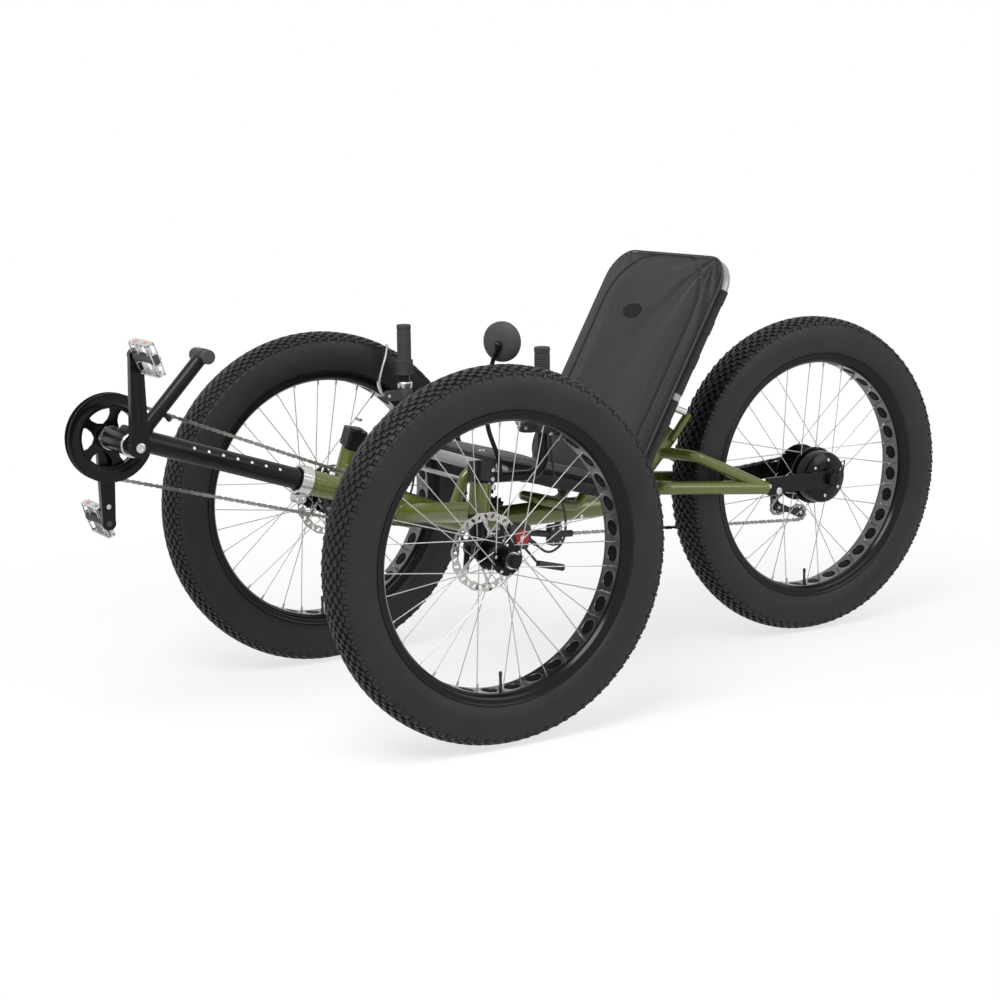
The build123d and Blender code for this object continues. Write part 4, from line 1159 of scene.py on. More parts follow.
    def derailleur(self) -> None:
        """Cage with two toothed pulleys, its body and its hanger."""
        black, metal = Shape(), Shape()
        low, high = (at(self.chain_x, behind, z) for behind, z, _ in self.path[3:5])
        way = (low - high).normalized()
        plate = link_outline((low - high).length / MM, 11, 6.0, 30)
        for side in (1, -1):
            black.prism(plate, high + ACROSS * (side * 6.0 * MM), way, ACROSS.cross(way), 1.8, 0.3)
        for mid in (low, high):
            self.cog(black, mid, 13.7, 4.0, 2.4)
            black.spin(band(-3.2, 3.2, 4, 8.5), mid, ACROSS, UP, 20)
            for side in (1, -1):
                metal.bolt(mid + ACROSS * (side * 7.0 * MM), ACROSS * side, 4.0, 1.8)
        mount, elbow_x = 1056.0, self.chain_x - 16
        drop = ((-8, 33), (8, 33), (10, 20), (8, -10), (9, -26), (4, -33), (-4, -33), (-9, -26), (-7, -10),
                (-10, 20))
        black.prism(drop, at(-92.0, mount, 346.0), BEHIND, UP, 4, 0.6)
        black.tube([at(x, mount, 321.0) for x in (-94.0, -90.0, -80.0, elbow_x)], (9, 11, 11, 9), sides=20)
        elbow = at(elbow_x, mount, 321.0)
        arm = [elbow + UP * 4 * MM, elbow - UP * 2 * MM]
        arm += [high + Vector((-9.6, 0, z)) * MM for z in (6, -4)]
        black.tube(arm, (7, 10, 10, 6), sides=16)
        for x, z, side, head, height in ((-94.2, 321.0, -1, 6.0, 2.6), (-94.2, 368.0, -1, 5.0, 2.0),
                                         (-70.0, 307.0, 1, 3.6, 2.0)):
            metal.bolt(at(x, mount, z), ACROSS * side, head, height)
        black.finish("derailleur_cage", Finish.PLASTIC, "frame", "black_plastic", replaces="derailleur")
        metal.finish("derailleur_bolts", Finish.SILVER, "frame", "spoke_steel", replaces="derailleur")

    def tube(self) -> None:
        """Ribbed sleeves at the ends of the chain tube and the bolts of its block."""
        ends, bolts = Shape(), Shape()
        front, rear = (at(self.chain_x, behind, z) for behind, z, _ in self.path[1:3])
        run = (rear - front).normalized()
        top = front + Vector((0, run.z, -run.y)) * 18 * MM
        for along in (130.0, 137.0, 144.0):
            place = top + run * along * MM
            ends.tube([place, place + run * 4 * MM], 8.6, sides=20)
        block = at(self.chain_x, 417.0, 294.0)
        for behind, z in ((-9, 17), (9, 17), (-9, -17), (9, -17)):
            bolts.bolt(block + Vector((10.2, behind, z)) * MM, ACROSS, 2.8, 1.6)
        ends.finish("chain_tube_ends", Finish.PLASTIC, "frame", "black_plastic")
        bolts.finish("chain_guide_bolts", Finish.SILVER, "frame", "spoke_steel")


@dataclass
class Pedal:
    """Silver cage pedal with toothed rails round a black body."""

    name: str
    side: int
    x: float = 150.0
    tilt: float = 70.0
    length: float = 96.0
    width: float = 66.0
    height: float = 17.0

    def __post_init__(self) -> None:
        """Works out the pedal's own directions."""
        a = math.radians(self.tilt)
        self.along = Vector((0, -math.cos(a), math.sin(a)))
        self.out = Vector((0, -math.sin(a), -math.cos(a)))
        self.mid = at(self.side * self.x, *CRANK_AXLE) + UP * self.side * 175 * MM

    def place(self, x: float, along: float, out: float) -> Vector:
        """Point of the pedal in millimetres along its own directions."""
        return self.mid + (ACROSS * x + self.along * along + self.out * out) * MM

    def build(self) -> None:
        """Builds the cage, the body and the axle."""
        cage, body, pins, lenses = Shape(), Shape(), Shape(), Shape()
        half, h, w = self.length / 2 - 2, self.height / 2, self.width / 2 - 2
        rail, teeth = [], 9
        for k in range(teeth):
            u = -half + 2 * half * k / teeth
            rail += [(u, h - 3.5), (u + half / teeth * 0.7, h), (u + half / teeth * 1.4, h)]
        rail.append((half, h - 3.5))
        rail += [(u, -v) for u, v in reversed(rail)]
        high_bar = ((-w, 4.4), (-12.0, 6.2), (12.0, 6.2), (w, 4.4), (w, 6.8), (12.0, 8.2), (-12.0, 8.2), (-w, 6.8))
        low_bar = [(u, -v) for u, v in reversed(high_bar)]
        posts = [rect(x, -y, x + wide, y) for x, wide, y in
                 ((-w, 3.0, 6.8), (w - 3.0, 3.0, 6.8), (-13.0, 2.6, 6.6), (10.4, 2.6, 6.6))]
        for edge in (1, -1):
            cage.prism(rail, self.place(0, edge * (self.width / 2 - 1.4), 0), ACROSS, self.out, 2.6)
            for bar in (high_bar, *posts, low_bar):
                cage.prism(bar, self.place(edge * (half + 0.4), 0, 0), self.along, self.out, 2.6)
            body.tube([self.place(edge * (half + x), 0, 0) for x in (-2.5, 1.6)], 9.4, sides=20)
            for x in (-22.0, 22.0):
                lenses.prism(rect(-7.0, -3.4, 7.0, 3.4), self.place(x, edge * (self.width / 2 - 0.2), 0), ACROSS,
                             self.out, 1.6, 0.4)
            for x in (-half * 0.52, half * 0.52):
                cage.prism(rect(-14.0, -5.0, 14.0, 5.0), self.place(x, edge * 18.5, 0), self.along, self.out,
                           5.0, 1.0)
            for x in (-30.0, -10.0, 10.0, 30.0):
                pins.tube([self.place(x, edge * 27.0, out) for out in (0.3 - h, h - 0.3)], 1.6, sides=8)
        body.tube([self.place(x, 0, 0) for x in (-half, -half + 3, -14, 14, half - 3, half)],
                  (8.0, 10.5, 8.5, 8.5, 10.5, 8.0), sides=20)
        face = 92.0 - self.x
        for start, end, r in ((face - 7.0, 4 - half, 5.9), (face + 7.4, -half, 7.8)):
            body.tube([self.place(self.side * x, 0, 0) for x in (start, end)], r, sides=16)
        node = f"pedal_{self.name}"
        for shape, piece, finish in ((cage, "cage", Finish.SILVER), (body, "body", Finish.PLASTIC),
                                     (pins, "pins", Finish.STEEL), (lenses, "reflectors", Finish.AMBER)):
            shape.finish(f"{node}_{piece}", finish, node, "pedal_metal", smooth=30, replaces=node)


# ---- Brakes ----
@dataclass
class Brake:
    """One front disc brake: drilled rotor, caliper knobs and bolts."""

    name: str
    side: int
    rotor_x: float = 341.0
    outer: float = 80.0
    inner: float = 63.0
    cells: int = 30
    thick: float = 1.9

    def build(self) -> None:
        """Builds the brake's pieces."""
        self.centre = at(self.side * self.rotor_x, 0.0, 375.0)
        self.rotor()
        self.caliper()

    def polar(self, r: float, angle: float, x: float) -> Vector:
        """Point of the rotor in millimetres and radians."""
        return self.centre + (ACROSS * x + radial(angle) * r) * MM

    def rotor(self) -> None:
        """Waved braking ring with slanted holes on six curved arms."""
        shape, bolts = Shape(), Shape()
        cell, half, root = 2 * math.pi / self.cells, self.thick / 2, 22.0
        mid_r = (self.inner + self.outer) / 2 - 0.4
        for index in range(self.cells):
            edge, hole = [], []
            for u, v in walk_round(rect(0.0, 0.0, 1.0, 1.0), 4):
                a = (index + u) * cell
                wave = math.sin(a * 15) * 1.1
                edge.append((self.inner - wave + (self.outer - self.inner - 1.2 + 2 * wave) * v, a))
                turn = math.atan2(v - 0.5, u - 0.5)
                du, dv = math.cos(turn) * 3.3, math.sin(turn) * 5.0
                lift = 0.45 if index % 2 else -0.45
                hole.append((mid_r + dv, (index + 0.5) * cell + (du + dv * lift) / mid_r))
            shape.rings([[self.polar(r, a, x) for r, a in ring] for x, ring in
                         ((half, edge), (half, hole), (-half, hole), (-half, edge), (half, edge))])
        for base in turns(6):
            sides = [], []
            for t in (step / 6 for step in range(7)):
                r = root + (self.inner + 1.5 - root) * t
                swing = base + 0.55 * math.sin(t * math.pi * 0.55)
                wide = (5.0 - 2.2 * math.sin(t * math.pi)) / r
                for line, lean_by in zip(sides, (-wide, wide)):
                    line.append((r, swing + lean_by))
            outline = sides[0] + sides[1][::-1]
            shape.rings([[self.polar(r, a, x) for r, a in outline] for x in (-half, half)], caps=True)
            bolts.bolt(self.polar(root + 0.5, base, -self.side), ACROSS * -self.side, 3.6, 2.2)
        shape.spin(band(-half, half, 19.2, 27), self.centre, ACROSS, BEHIND, 48)
        body, node = f"wheel_{self.name}", f"rotor_{self.name}"
        shape.finish(f"{node}_disc", Finish.ROTOR, body, "rotor_steel", smooth=30, replaces=node)
        bolts.finish(f"{node}_bolts", Finish.SILVER, body, "spoke_steel")

    def knurled(self, shape: Shape, place: Vector, way: Vector, sides: int,
                levels: Sequence[tuple[float, float, float]]) -> None:
        """Knob with a notched edge.

        Args:
            shape: Mesh that takes it.
            place: Middle of its foot.
            way: Direction that it faces.
            sides: Points of its round.
            levels: Height, radius and depth of the notches from the foot to the dimple, in millimetres.
        """
        rings = []
        for height, r, notch in levels:
            rings.append([place + (way * height + radial(a) * (r - (notch if k % 4 < 2 else 0.0))) * MM
                          for k, a in enumerate(turns(sides))])
        shape.rings(rings, caps=True)

    def caliper(self) -> None:
        """Red pad knobs on both faces and the caliper's silver bolts."""
        inward = ACROSS * -self.side
        knob, bolts = Shape(), Shape()
        inner, outer = (at(self.side * (self.rotor_x + x), behind, 397.0)
                        for x, behind in ((-17.0, 78.0), (12.0, 74.0)))
        self.knurled(knob, inner, inward, 48, ((0.2, 16.4, 0), (2.0, 17.2, 0.9), (9.0, 17.2, 0.9), (12.6, 15.6, 0),
                                               (12.9, 9.0, 0), (11.4, 7.0, 0.9), (11.4, 0.01, 0.9)))
        spots = ((17.2, 62.0, 371.0, 4.6), (17.2, 84.0, 412.0, 3.6), (17.2, 50.0, 414.0, 4.0),
                 (17.2, 92.0, 383.0, 3.4), (19.8, 12.0, 396.0, 4.2), (19.8, 44.0, 384.0, 4.2))
        for inboard, behind, z, r in spots:
            bolts.bolt(at(self.side * (self.rotor_x - inboard), behind, z), inward, r, 2.6)
        bolts.bolt(inner + inward * 11.4 * MM, inward, 5.2, 1.8)
        self.knurled(knob, outer, -inward, 40, ((-0.4, 15.0, 0), (0.6, 16.4, 1), (2.6, 16.4, 1), (3.4, 15.0, 0),
                                                (3.5, 8.0, 0), (2.4, 6.5, 1), (2.4, 0.01, 1)))
        bolts.bolt(outer - inward * 2.4 * MM, -inward, 5.0, 1.0)
        body, node = f"steer_{self.name}", f"caliper_{self.name}"
        knob.finish(f"{node}_knob", Finish.RED, body, "brake_black", smooth=35)
        bolts.finish(f"{node}_bolts", Finish.SILVER, body, "spoke_steel")


# ---- Cockpit ----
@dataclass
class Cockpit:
    """One hand's controls: ribbed grip, brake lever, steering clamp bolts and, on the left, the mirror."""

    name: str
    side: int
    bar_x: float = 285.25
    bar_behind: float = 168.0
    grip_top: float = 762.0
    grip_length: float = 112.0
    grip_r: float = 16.0

    def spot(self, x: float, forward: float, z: float) -> Vector:
        """Place next to the bar: outward, forward of its axis and height, in millimetres."""
        return at(self.side * (self.bar_x + x), self.bar_behind - forward, z)

    def build(self) -> None:
        """Builds the controls of this hand."""
        self.body = f"steer_{self.name}"
        self.grip()
        self.lever()
        self.clamp()
        if self.name == "left":
            self.mirror()

    def grip(self) -> None:
        """Ribbed rubber grip with an end cap; the right one carries the twist shifter."""
        shape = Shape()
        top, foot = self.grip_top, self.grip_top - self.grip_length
        profile = [(foot, 11.3)]
        if self.name == "right":
            profile += [(foot, 19.0), (foot + 2, 20.0)]
            for k in range(7):
                profile += [(foot + z + k * 4, r) for z, r in ((3.5, 20.0), (4.5, 18.8), (6.0, 18.8), (7.0, 20.0))]
            profile += [(foot + 32.5, 19.6), (foot + 33.5, 16.6)]
            z = foot + 34
        else:
            profile += [(foot, 17.5), (foot + 4, 17.5), (foot + 5, 15.6)]
            z = foot + 6
        while z < top - 16:
            profile += [(z, 15.2), (z + 0.9, 15.95), (z + 3.0, 15.95), (z + 3.9, 15.2)]
            z += 4.8
        cap = ((11, 15.4), (10, 16.0), (2.5, 16.0), (0.6, 14.5), (0, 11.0), (0, 0.0))
        profile += [(top - down, r) for down, r in cap]
        shape.spin(profile, self.spot(0, 0, 0), UP, BEHIND, 40, closed=False)
        shape.finish(f"grip_{self.name}_rubber", Finish.RUBBER, self.body, "grip_rubber", smooth=35,
                     replaces=f"grip_{self.name}")

    def lever(self) -> None:
        """Clamp, body and silver blade of the brake lever, with its cable adjuster."""
        body, blade, bolts = Shape(), Shape(), Shape()
        z = self.grip_top - self.grip_length - 46.0
        mid, out = self.spot(0, 0, z), ACROSS * self.side
        ring = ((-14, 11.3), (-14, 16.2), (-12.5, 17.0), (12.5, 17.0), (14, 16.2), (14, 11.3))
        body.spin(ring, mid, UP, BEHIND, 32)
        housing = ((-12, -10), (-30, -12), (-50, -10), (-56, -2), (-54, 8), (-44, 12), (-24, 12), (-12, 9))
        body.prism(housing, mid, BEHIND, UP, 16, 1.6)
        curve = ((48, -2), (60, 12), (66, 34), (58, 62), (47, 92), (42, 119))
        points = smooth_line([self.spot(0, forward, z + up) for forward, up in curve], 5)
        last = len(points) - 1
        rings = []
        for index, point in enumerate(points):
            share = index / last
            way = (points[min(index + 1, last)] - points[max(index - 1, 0)]).normalized()
            wide = ACROSS * (6.5 + 2.0 * math.sin(share * math.pi * 1.4)) * 0.72 * (0.55 if share > 0.97 else 1.0)
            deep = way.cross(ACROSS) * (3.6 - 1.2 * share)
            rings.append([point + (wide * math.cos(a) + deep * math.sin(a)) * MM for a in turns(12)])
        blade.rings(rings, caps=True)
        for x, forward, facing, head, height in ((8.0, 44.0, out, 4.0, 1.6), (-8.0, 44.0, -out, 4.0, 1.6),
                                                 (17.0, 0.0, out, 3.2, 2.0)):
            bolts.bolt(self.spot(x, forward, z), facing, head, height)
        way = Vector((0, -2.0, 64.0)).normalized()
        way.x = -self.side * 4.0 / 64.0
        stop = at(self.side * 288.0, 184.0, 584.0)
        bolts.tube([stop + way * along * MM for along in (-1, 3, 5, 16)], (4.6, 5.4, 4.2, 4.2), sides=14)
        collar = ((15.5, 11.3), (15.5, 15.0), (18.0, 16.6), (27.0, 17.4), (30.0, 15.2), (30.0, 11.3))
        bolts.spin(collar, mid, UP, BEHIND, 32)
        for shape, piece, finish in ((body, "body", Finish.PLASTIC), (blade, "blade", Finish.SILVER),
                                     (bolts, "adjuster", Finish.SILVER)):
            shape.finish(f"lever_{self.name}_{piece}", finish, self.body, "black_plastic", smooth=35,
                         replaces=f"brake_lever_{self.name}")

    def clamp(self) -> None:
        """Bolts of the clamp block, and the nut and boot of the tie rod's joint."""
        bolts, boot = Shape(), Shape()
        up, out = (kingpin(self.side, 500.0) - kingpin(self.side, 400.0)).normalized(), ACROSS * self.side
        mid = kingpin(self.side, 468.0) + up * 55 * MM
        front = up.cross(ACROSS).normalized()
        for along in (-9.0, 9.0):
            bolts.bolt(mid + (out * 23 + up * along + front * 12) * MM, out, 4.4, 3.4)
        bolts.bolt(mid + up * 42.5 * MM, up, 8.5, 2.4)
        pin = at(self.side * (self.bar_x - 27.0), 64.0, 484.0)
        bolts.bolt(pin + up * 25.6 * MM, up, 5.6, 3.2)
        sleeve = ((12.4, 4.2), (12.4, 6.0), (14, 7.4), (16, 5.6), (16, 4.2))
        boot.spin(sleeve, pin, up, up.orthogonal().normalized(), 20)
        bolts.finish(f"clamp_{self.name}_bolts", Finish.SILVER, self.body, "spoke_steel")
        boot.finish(f"joint_{self.name}_boot", Finish.RUBBER, self.body, "black_plastic")

    def mirror(self) -> None:
        """Domed mirror back with its rim, ball joint and glass."""
        back, glass, joint = Shape(), Shape(), Shape()
        turn, height, foot_z = math.radians(30.0), 778.0, 521.0
        face = Vector((-math.sin(turn), math.cos(turn), 0))
        origin = at(self.bar_x + 7.0, 68.0, height)
        dome = ((9.6, 37.0), (10.6, 38.2), (10.2, 39.6), (6.0, 40.0), (1.0, 39.6), (-3.0, 35.0), (-6.0, 26.0),
                (-7.6, 13.0), (-8.0, 0.0))
        back.spin(dome, origin, face, UP, 56, closed=False)
        glass.spin(((10.0, 0.0), (10.0, 37.4), (9.4, 37.4)), origin, face, UP, 56, closed=False)
        bends = ((285.2, 62.0, 0.12), (285.2, 40.0, 0.36), (286.4, 39.0, 0.62), (289.0, 50.0, 0.84))
        stalk = [at(285.2, 69.0, foot_z - 10)]
        stalk += [at(x, behind, foot_z + (height - foot_z) * share) for x, behind, share in bends]
        joint.tube(smooth_line(stalk + [origin - (face * 12 + UP * 7) * MM], 6), 4.6, sides=14)
        ball = [(math.cos(a) * 8.2, math.sin(a) * 8.2) for a in (math.pi * k / 10 for k in range(11))]
        joint.spin(ball, origin - (face * 13 + UP * 5) * MM, face, UP, 20, closed=False)
        for shape, piece, finish in ((back, "back", Finish.PLASTIC), (glass, "glass", Finish.MIRROR),
                                     (joint, "stalk", Finish.BLACK)):
            shape.finish(f"mirror_{piece}", finish, self.body, "black_plastic", replaces="mirror")


# ---- Seat ----
def clamped(value: float, low: float = 0.0, high: float = 1.0) -> float:
    """The value, held between two limits."""
    return min(max(value, low), high)


def rounded(over_x: float, over_y: float, corner: float) -> float:
    """Signed distance to a rounded corner from the distances over its two sides."""
    qx, qy = over_x + corner, over_y + corner
    return math.hypot(max(qx, 0), max(qy, 0)) + min(max(qx, qy), 0) - corner


@dataclass
class Cushion:
    """One seat pad: swollen by a cloth simulation, then seamed, creased and bound."""

    name: str
    node: str
    foot: Vector
    along: Vector
    out: Vector
    width: float
    length: float
    corner: float
    seam_inset: float
    seam_corner: float
    thick: float = 15.0 * MM
    low: float = 13.0 * MM
    top: float = 36.5 * MM
    voxel: float = 6.0 * MM
    frames: int = 20
    cap: float = 9.0 * MM
    dish: float = 9.0 * MM
    folds: float = 6.0 * MM
    seam_depth: float = 3.6 * MM
    seam_width: float = 3.4 * MM

    def outline(self, inset: float, corner: float, steps: int = 10) -> Outline:
        """Rounded rectangle in the pad's plane, its middle at (0, 0).

        Args:
            inset: How far it is drawn in from the edge.
            corner: Radius of its corners.
            steps: Steps round each corner.

        Returns:
            Points as pairs across and along the pad.
        """
        corner = max(corner, 4 * MM)
        in_w, in_l = self.width / 2 - inset - corner, self.length / 2 - inset - corner
        points = []
        for index, (sx, sy) in enumerate(((1, 1), (-1, 1), (-1, -1), (1, -1))):
            for a in (math.pi / 2 * (index + k / steps) for k in range(steps + 1)):
                points.append((sx * in_w + corner * math.cos(a), sy * in_l + corner * math.sin(a)))
        return points

    def place(self, u: float, v: float, w: float) -> Vector:
        """Point from the pad's own distances: across, along and out."""
        return self.foot + Vector((u, 0, 0)) + self.along * (v + self.length / 2) + self.out * w

    def local(self, point: Vector) -> tuple[float, float, float]:
        """Distances across, along and out of a point."""
        arm = point - self.foot
        return arm.x, arm.dot(self.along) - self.length / 2, arm.dot(self.out)

    def edge_distance(self, u: float, v: float) -> float:
        """Signed distance to the pad's rounded edge, negative inside."""
        return rounded(abs(u) - self.width / 2, abs(v) - self.length / 2, self.corner)

    def seam_distance(self, u: float, v: float) -> float:
        """Signed distance to the sewn arch, which runs down both sides and out of the lower edge."""
        return rounded(abs(u) - self.width / 2 + self.seam_inset, v - self.length / 2, self.seam_corner)

    def height(self, u: float, v: float, reach: float = 14 * MM) -> float:
        """How far the pad's face stands out near a place on it."""
        near = [self.local(vert.co) for vert in self.piece.data.vertices]
        return max(w for a, b, w in near if math.hypot(a - u, b - v) < reach)

    def build(self) -> None:
        """Builds the pad, presses its sewn line in and adds its edge binding."""
        shape = Shape()
        back, face = self.low, self.low + self.thick
        levels = ((back, 5.0), (back + 3 * MM, 1.5), (back + 8 * MM, 1.0), (face - 3 * MM, 3.0), (face, 9.0))
        rings = [[self.place(u, v, w) for u, v in self.outline(inset * MM, self.corner)] for w, inset in levels]
        shape.rings(rings, caps=True)
        self.piece = shape.finish(f"{self.name}_pad", Finish.CLOTH, "frame", "seat_fabric", smooth=180)
        self.bake("REMESH", voxel_size=self.voxel, mode="VOXEL")
        self.swell()
        self.bake("SUBSURF", levels=1)
        self.crease()
        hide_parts(self.node)
        self.binding()

    def bake(self, kind: str, **settings: Any) -> None:
        """Adds one modifier and keeps its result as the mesh.

        Args:
            kind: Blender's modifier type.
            settings: The modifier's properties.
        """
        mod = self.piece.modifiers.new("shape", kind)
        for key, value in settings.items():
            setattr(mod, key, value)
        self.keep()

    def keep(self) -> None:
        """Keeps what the modifiers give as the mesh, and removes them."""
        piece = self.piece
        made = bpy.data.meshes.new_from_object(piece.evaluated_get(bpy.context.evaluated_depsgraph_get()))
        piece.modifiers.clear()
        old, piece.data = piece.data, made
        bpy.data.meshes.remove(old)
        made.shade_smooth()

    def swell(self) -> None:
        """Fills the pad by a short cloth simulation, its back and rim held."""
        piece, scene = self.piece, bpy.context.scene
        before = [v.co.copy() for v in piece.data.vertices]
        held = piece.vertex_groups.new(name="held")
        for vert in piece.data.vertices:
            u, v, w = self.local(vert.co)
            rim = self.edge_distance(u, v) > -7 * MM
            if w < self.low + 5 * MM or (rim and w < self.low + 10 * MM):
                held.add([vert.index], 1.0, "REPLACE")
        mod = piece.modifiers.new("swell", "CLOTH")
        cloth = mod.settings
        cloth.quality = 4
        cloth.mass = 0.3
        cloth.use_pressure = True
        cloth.uniform_pressure_force = 4.0
        cloth.effector_weights.gravity = 0.0
        cloth.vertex_group_mass = "held"
        mod.point_cache.frame_start, mod.point_cache.frame_end = 1, self.frames
        for number in range(1, self.frames + 1):
            scene.frame_set(number)
        self.keep()
        piece.vertex_groups.clear()
        scene.frame_set(1)
        for vert, old in zip(piece.data.vertices, before):
            move = vert.co - old
            if move.length > self.cap:
                vert.co = old + move * (self.cap / move.length)

    def crease(self) -> None:
        """Presses the sewn line in, adds soft creases and keeps the pad within its space."""
        mesh = self.piece.data
        fan_u, fan_v = self.width * 0.36, self.length / 2
        flaps = []
        for vert in mesh.vertices:
            u, v, w = self.local(vert.co)
            front = clamped((w - self.low) / (6 * MM) - 1)
            line = self.seam_distance(u, v)
            press = self.seam_depth * math.exp(-((line / self.seam_width) ** 2))
            swell = sum(size * noise.noise(Vector((u * across, v * along, seed)))
                        for size, across, along, seed in ((1.8, 7.0, 2.6, 3.0), (0.6, 16.0, 6.0, 9.0)))
            away = math.hypot(u - fan_u, v - fan_v)
            angle = math.atan2(v - fan_v, u - fan_u)
            fold = noise.noise(Vector((angle * 4.6, away * 1.5, 1.7)))
            fold *= min(away / 0.05, 1.0) * max(0.0, 1 - away / 0.42)
            hollow = self.dish * (1.0 - min(abs(u) / (self.width / 2 - 14 * MM), 1.0) ** 2)
            lift = (swell * MM + fold * self.folds - press - hollow) * front
            vert.co = self.place(u, v, clamped(w + lift, self.low - 0.2 * MM, self.top))
            flaps.append(clamped(line / (3 * MM) + 0.5))
        mesh.attributes.new("flap", "FLOAT", "POINT").data.foreach_set("value", flaps)

    def binding(self) -> None:
        """Cord sewn round the pad's edge."""
        shape = Shape()
        ring = self.outline(1.2 * MM, self.corner)
        shape.tube([self.place(u, v, self.low + 9 * MM) for u, v in ring + ring[:1]], 2.0, sides=8)
        shape.finish(f"{self.name}_binding", Finish.PIPING, "frame", "seat_fabric", smooth=60)


@dataclass
class Seat:
    """Back and base pads, their sleeves and straps round the frame, and the badge."""

    tube_x: float = 196.0
    tube_r: float = 12.5
    corner_behind: float = 446.0
    corner_z: float = 417.0
    back_lean: float = 60.7
    strap_rows: tuple[float, ...] = (70.0, 165.0, 320.0, 400.0, 470.0)
    strap_width: float = 30.0
    base_rows: tuple[float, ...] = (90.0, 190.0, 290.0)

    def build(self) -> None:
        """Builds the whole seat."""
        corner = at(0, self.corner_behind, self.corner_z)
        back = lean(self.back_lean)
        base = at(0, 100.0, 510.0) - corner
        base_length = base.length / MM
        base.normalize()
        back_out, base_out = Vector((0, -back.z, back.y)), Vector((0, base.z, -base.y))
        rest = Cushion("back", "seat_back", corner + back * 16.5 * MM, back, back_out, width=428 * MM,
                       length=537 * MM, corner=71 * MM, seam_inset=44 * MM, seam_corner=140 * MM)
        rest.build()
        Cushion("base", "seat_base", corner + base * 37.8 * MM, base, base_out, width=418 * MM,
                length=(base_length - 52.5) * MM, corner=29 * MM, seam_inset=40 * MM, seam_corner=60 * MM,
                dish=5 * MM, folds=1.0 * MM).build()
        self.sleeves("back", corner, back, back_out, ((28.0, 225.0), (240.0, 392.0), (412.0, 476.0)))
        self.sleeves("base", corner, base, base_out, ((34.0, base_length - 34.0),))
        self.straps("back", corner, back, back_out, self.strap_rows)
        self.straps("base", corner, base, base_out, self.base_rows)
        self.badge(rest)

    def sleeves(self, name: str, corner: Vector, along: Vector, out: Vector, spans: Outline) -> None:
        """Cloth sleeves that hold the sling to both side tubes.

        Args:
            name: Which part of the seat.
            corner: Where base and back meet.
            along: Direction of the side tubes.
            out: Direction that the pad faces.
            spans: Start and end of each sleeve along the tubes in millimetres.
        """
        shape = Shape()
        for side in (1, -1):
            axis = corner + ACROSS * side * self.tube_x * MM
            for start, end in spans:
                profile = ((start, 0.2), (start, 0.9), (end, 0.9), (end, 0.2))
                rings = []
                for a in (math.radians(100.0 - 12.5 * k) for k in range(17)):
                    way = ACROSS * side * math.cos(a) + out * math.sin(a)
                    rings.append([axis + (along * v + way * (self.tube_r + r)) * MM for v, r in profile])
                shape.rings(rings, caps=True)
        shape.finish(f"{name}_sleeves", Finish.STRAP, "frame", "seat_fabric", smooth=40)

    def straps(self, name: str, corner: Vector, along: Vector, out: Vector, rows: Sequence[float]) -> None:
        """Webbing round both side tubes and across behind the pad, with buckles.

        Args:
            name: Which part of the seat.
            corner: Where base and back meet.
            along: Direction of the side tubes.
            out: Direction that the pad faces.
            rows: Distances of the straps along the tubes in millimetres.
        """
        cloth, buckles = Shape(), Shape()
        grip_r, half = self.tube_r + 1.6, self.strap_width / 2
        path = [(self.tube_x - 6.0, grip_r - 0.4), (self.tube_x, grip_r)]
        for a in (math.pi / 2 - math.pi * k / 8 for k in range(1, 9)):
            path.append((self.tube_x + grip_r * math.cos(a), grip_r * math.sin(a)))
        path += [(-u, w) for u, w in reversed(path)]
        turn = Matrix((ACROSS, along, out)).transposed()
        for row in rows:
            start = corner + along * row * MM
            rings = []
            for index, (u, w) in enumerate(path):
                before, after = path[max(index - 1, 0)], path[min(index + 1, len(path) - 1)]
                way = Vector((after[0] - before[0], after[1] - before[1])).normalized() * 0.8
                rings.append([start + (along * step + ACROSS * (u + way.y * face) + out * (w - way.x * face)) * MM
                              for step, face in ((-half, 1), (half, 1), (half, -1), (-half, -1))])
            cloth.rings(rings, caps=True)
            for u, size in ((-17, (26, 36, 5)), (17, (26, 36, 5)), (0, (14, 26, 6))):
                buckles.block(start + (ACROSS * u - out * (grip_r + 2.5)) * MM, size, turn, 1.4)
        cloth.finish(f"{name}_straps", Finish.STRAP, "frame", "seat_fabric", smooth=30)
        buckles.finish(f"{name}_buckles", Finish.PLASTIC, "frame", "black_plastic", smooth=30)

    def badge(self, rest: Cushion) -> None:
        """Bare oval badge with a raised rim on the back pad.

        Args:
            rest: The back pad.
        """
        plate = Shape()
        u, v = -44 * MM, 388.5 * MM - rest.length / 2
        mid = rest.place(u, v, rest.height(u, v) + 0.2 * MM)
        for r, low, high in ((1.0, -3.0, 1.0), (0.86, 0.4, 1.2)):
            oval = [(math.cos(a) * 34 * r, math.sin(a) * 18 * r) for a in turns(48)]
            plate.rings([[mid + (ACROSS * u + rest.along * v * draw + rest.out * w) * MM for u, v in oval]
                         for w, draw in ((low, 1.0), (high - 0.4, 1.0), (high, 0.96))], caps=True)
        plate.finish("seat_badge", Finish.BADGE, "frame", "seat_fabric", smooth=30)


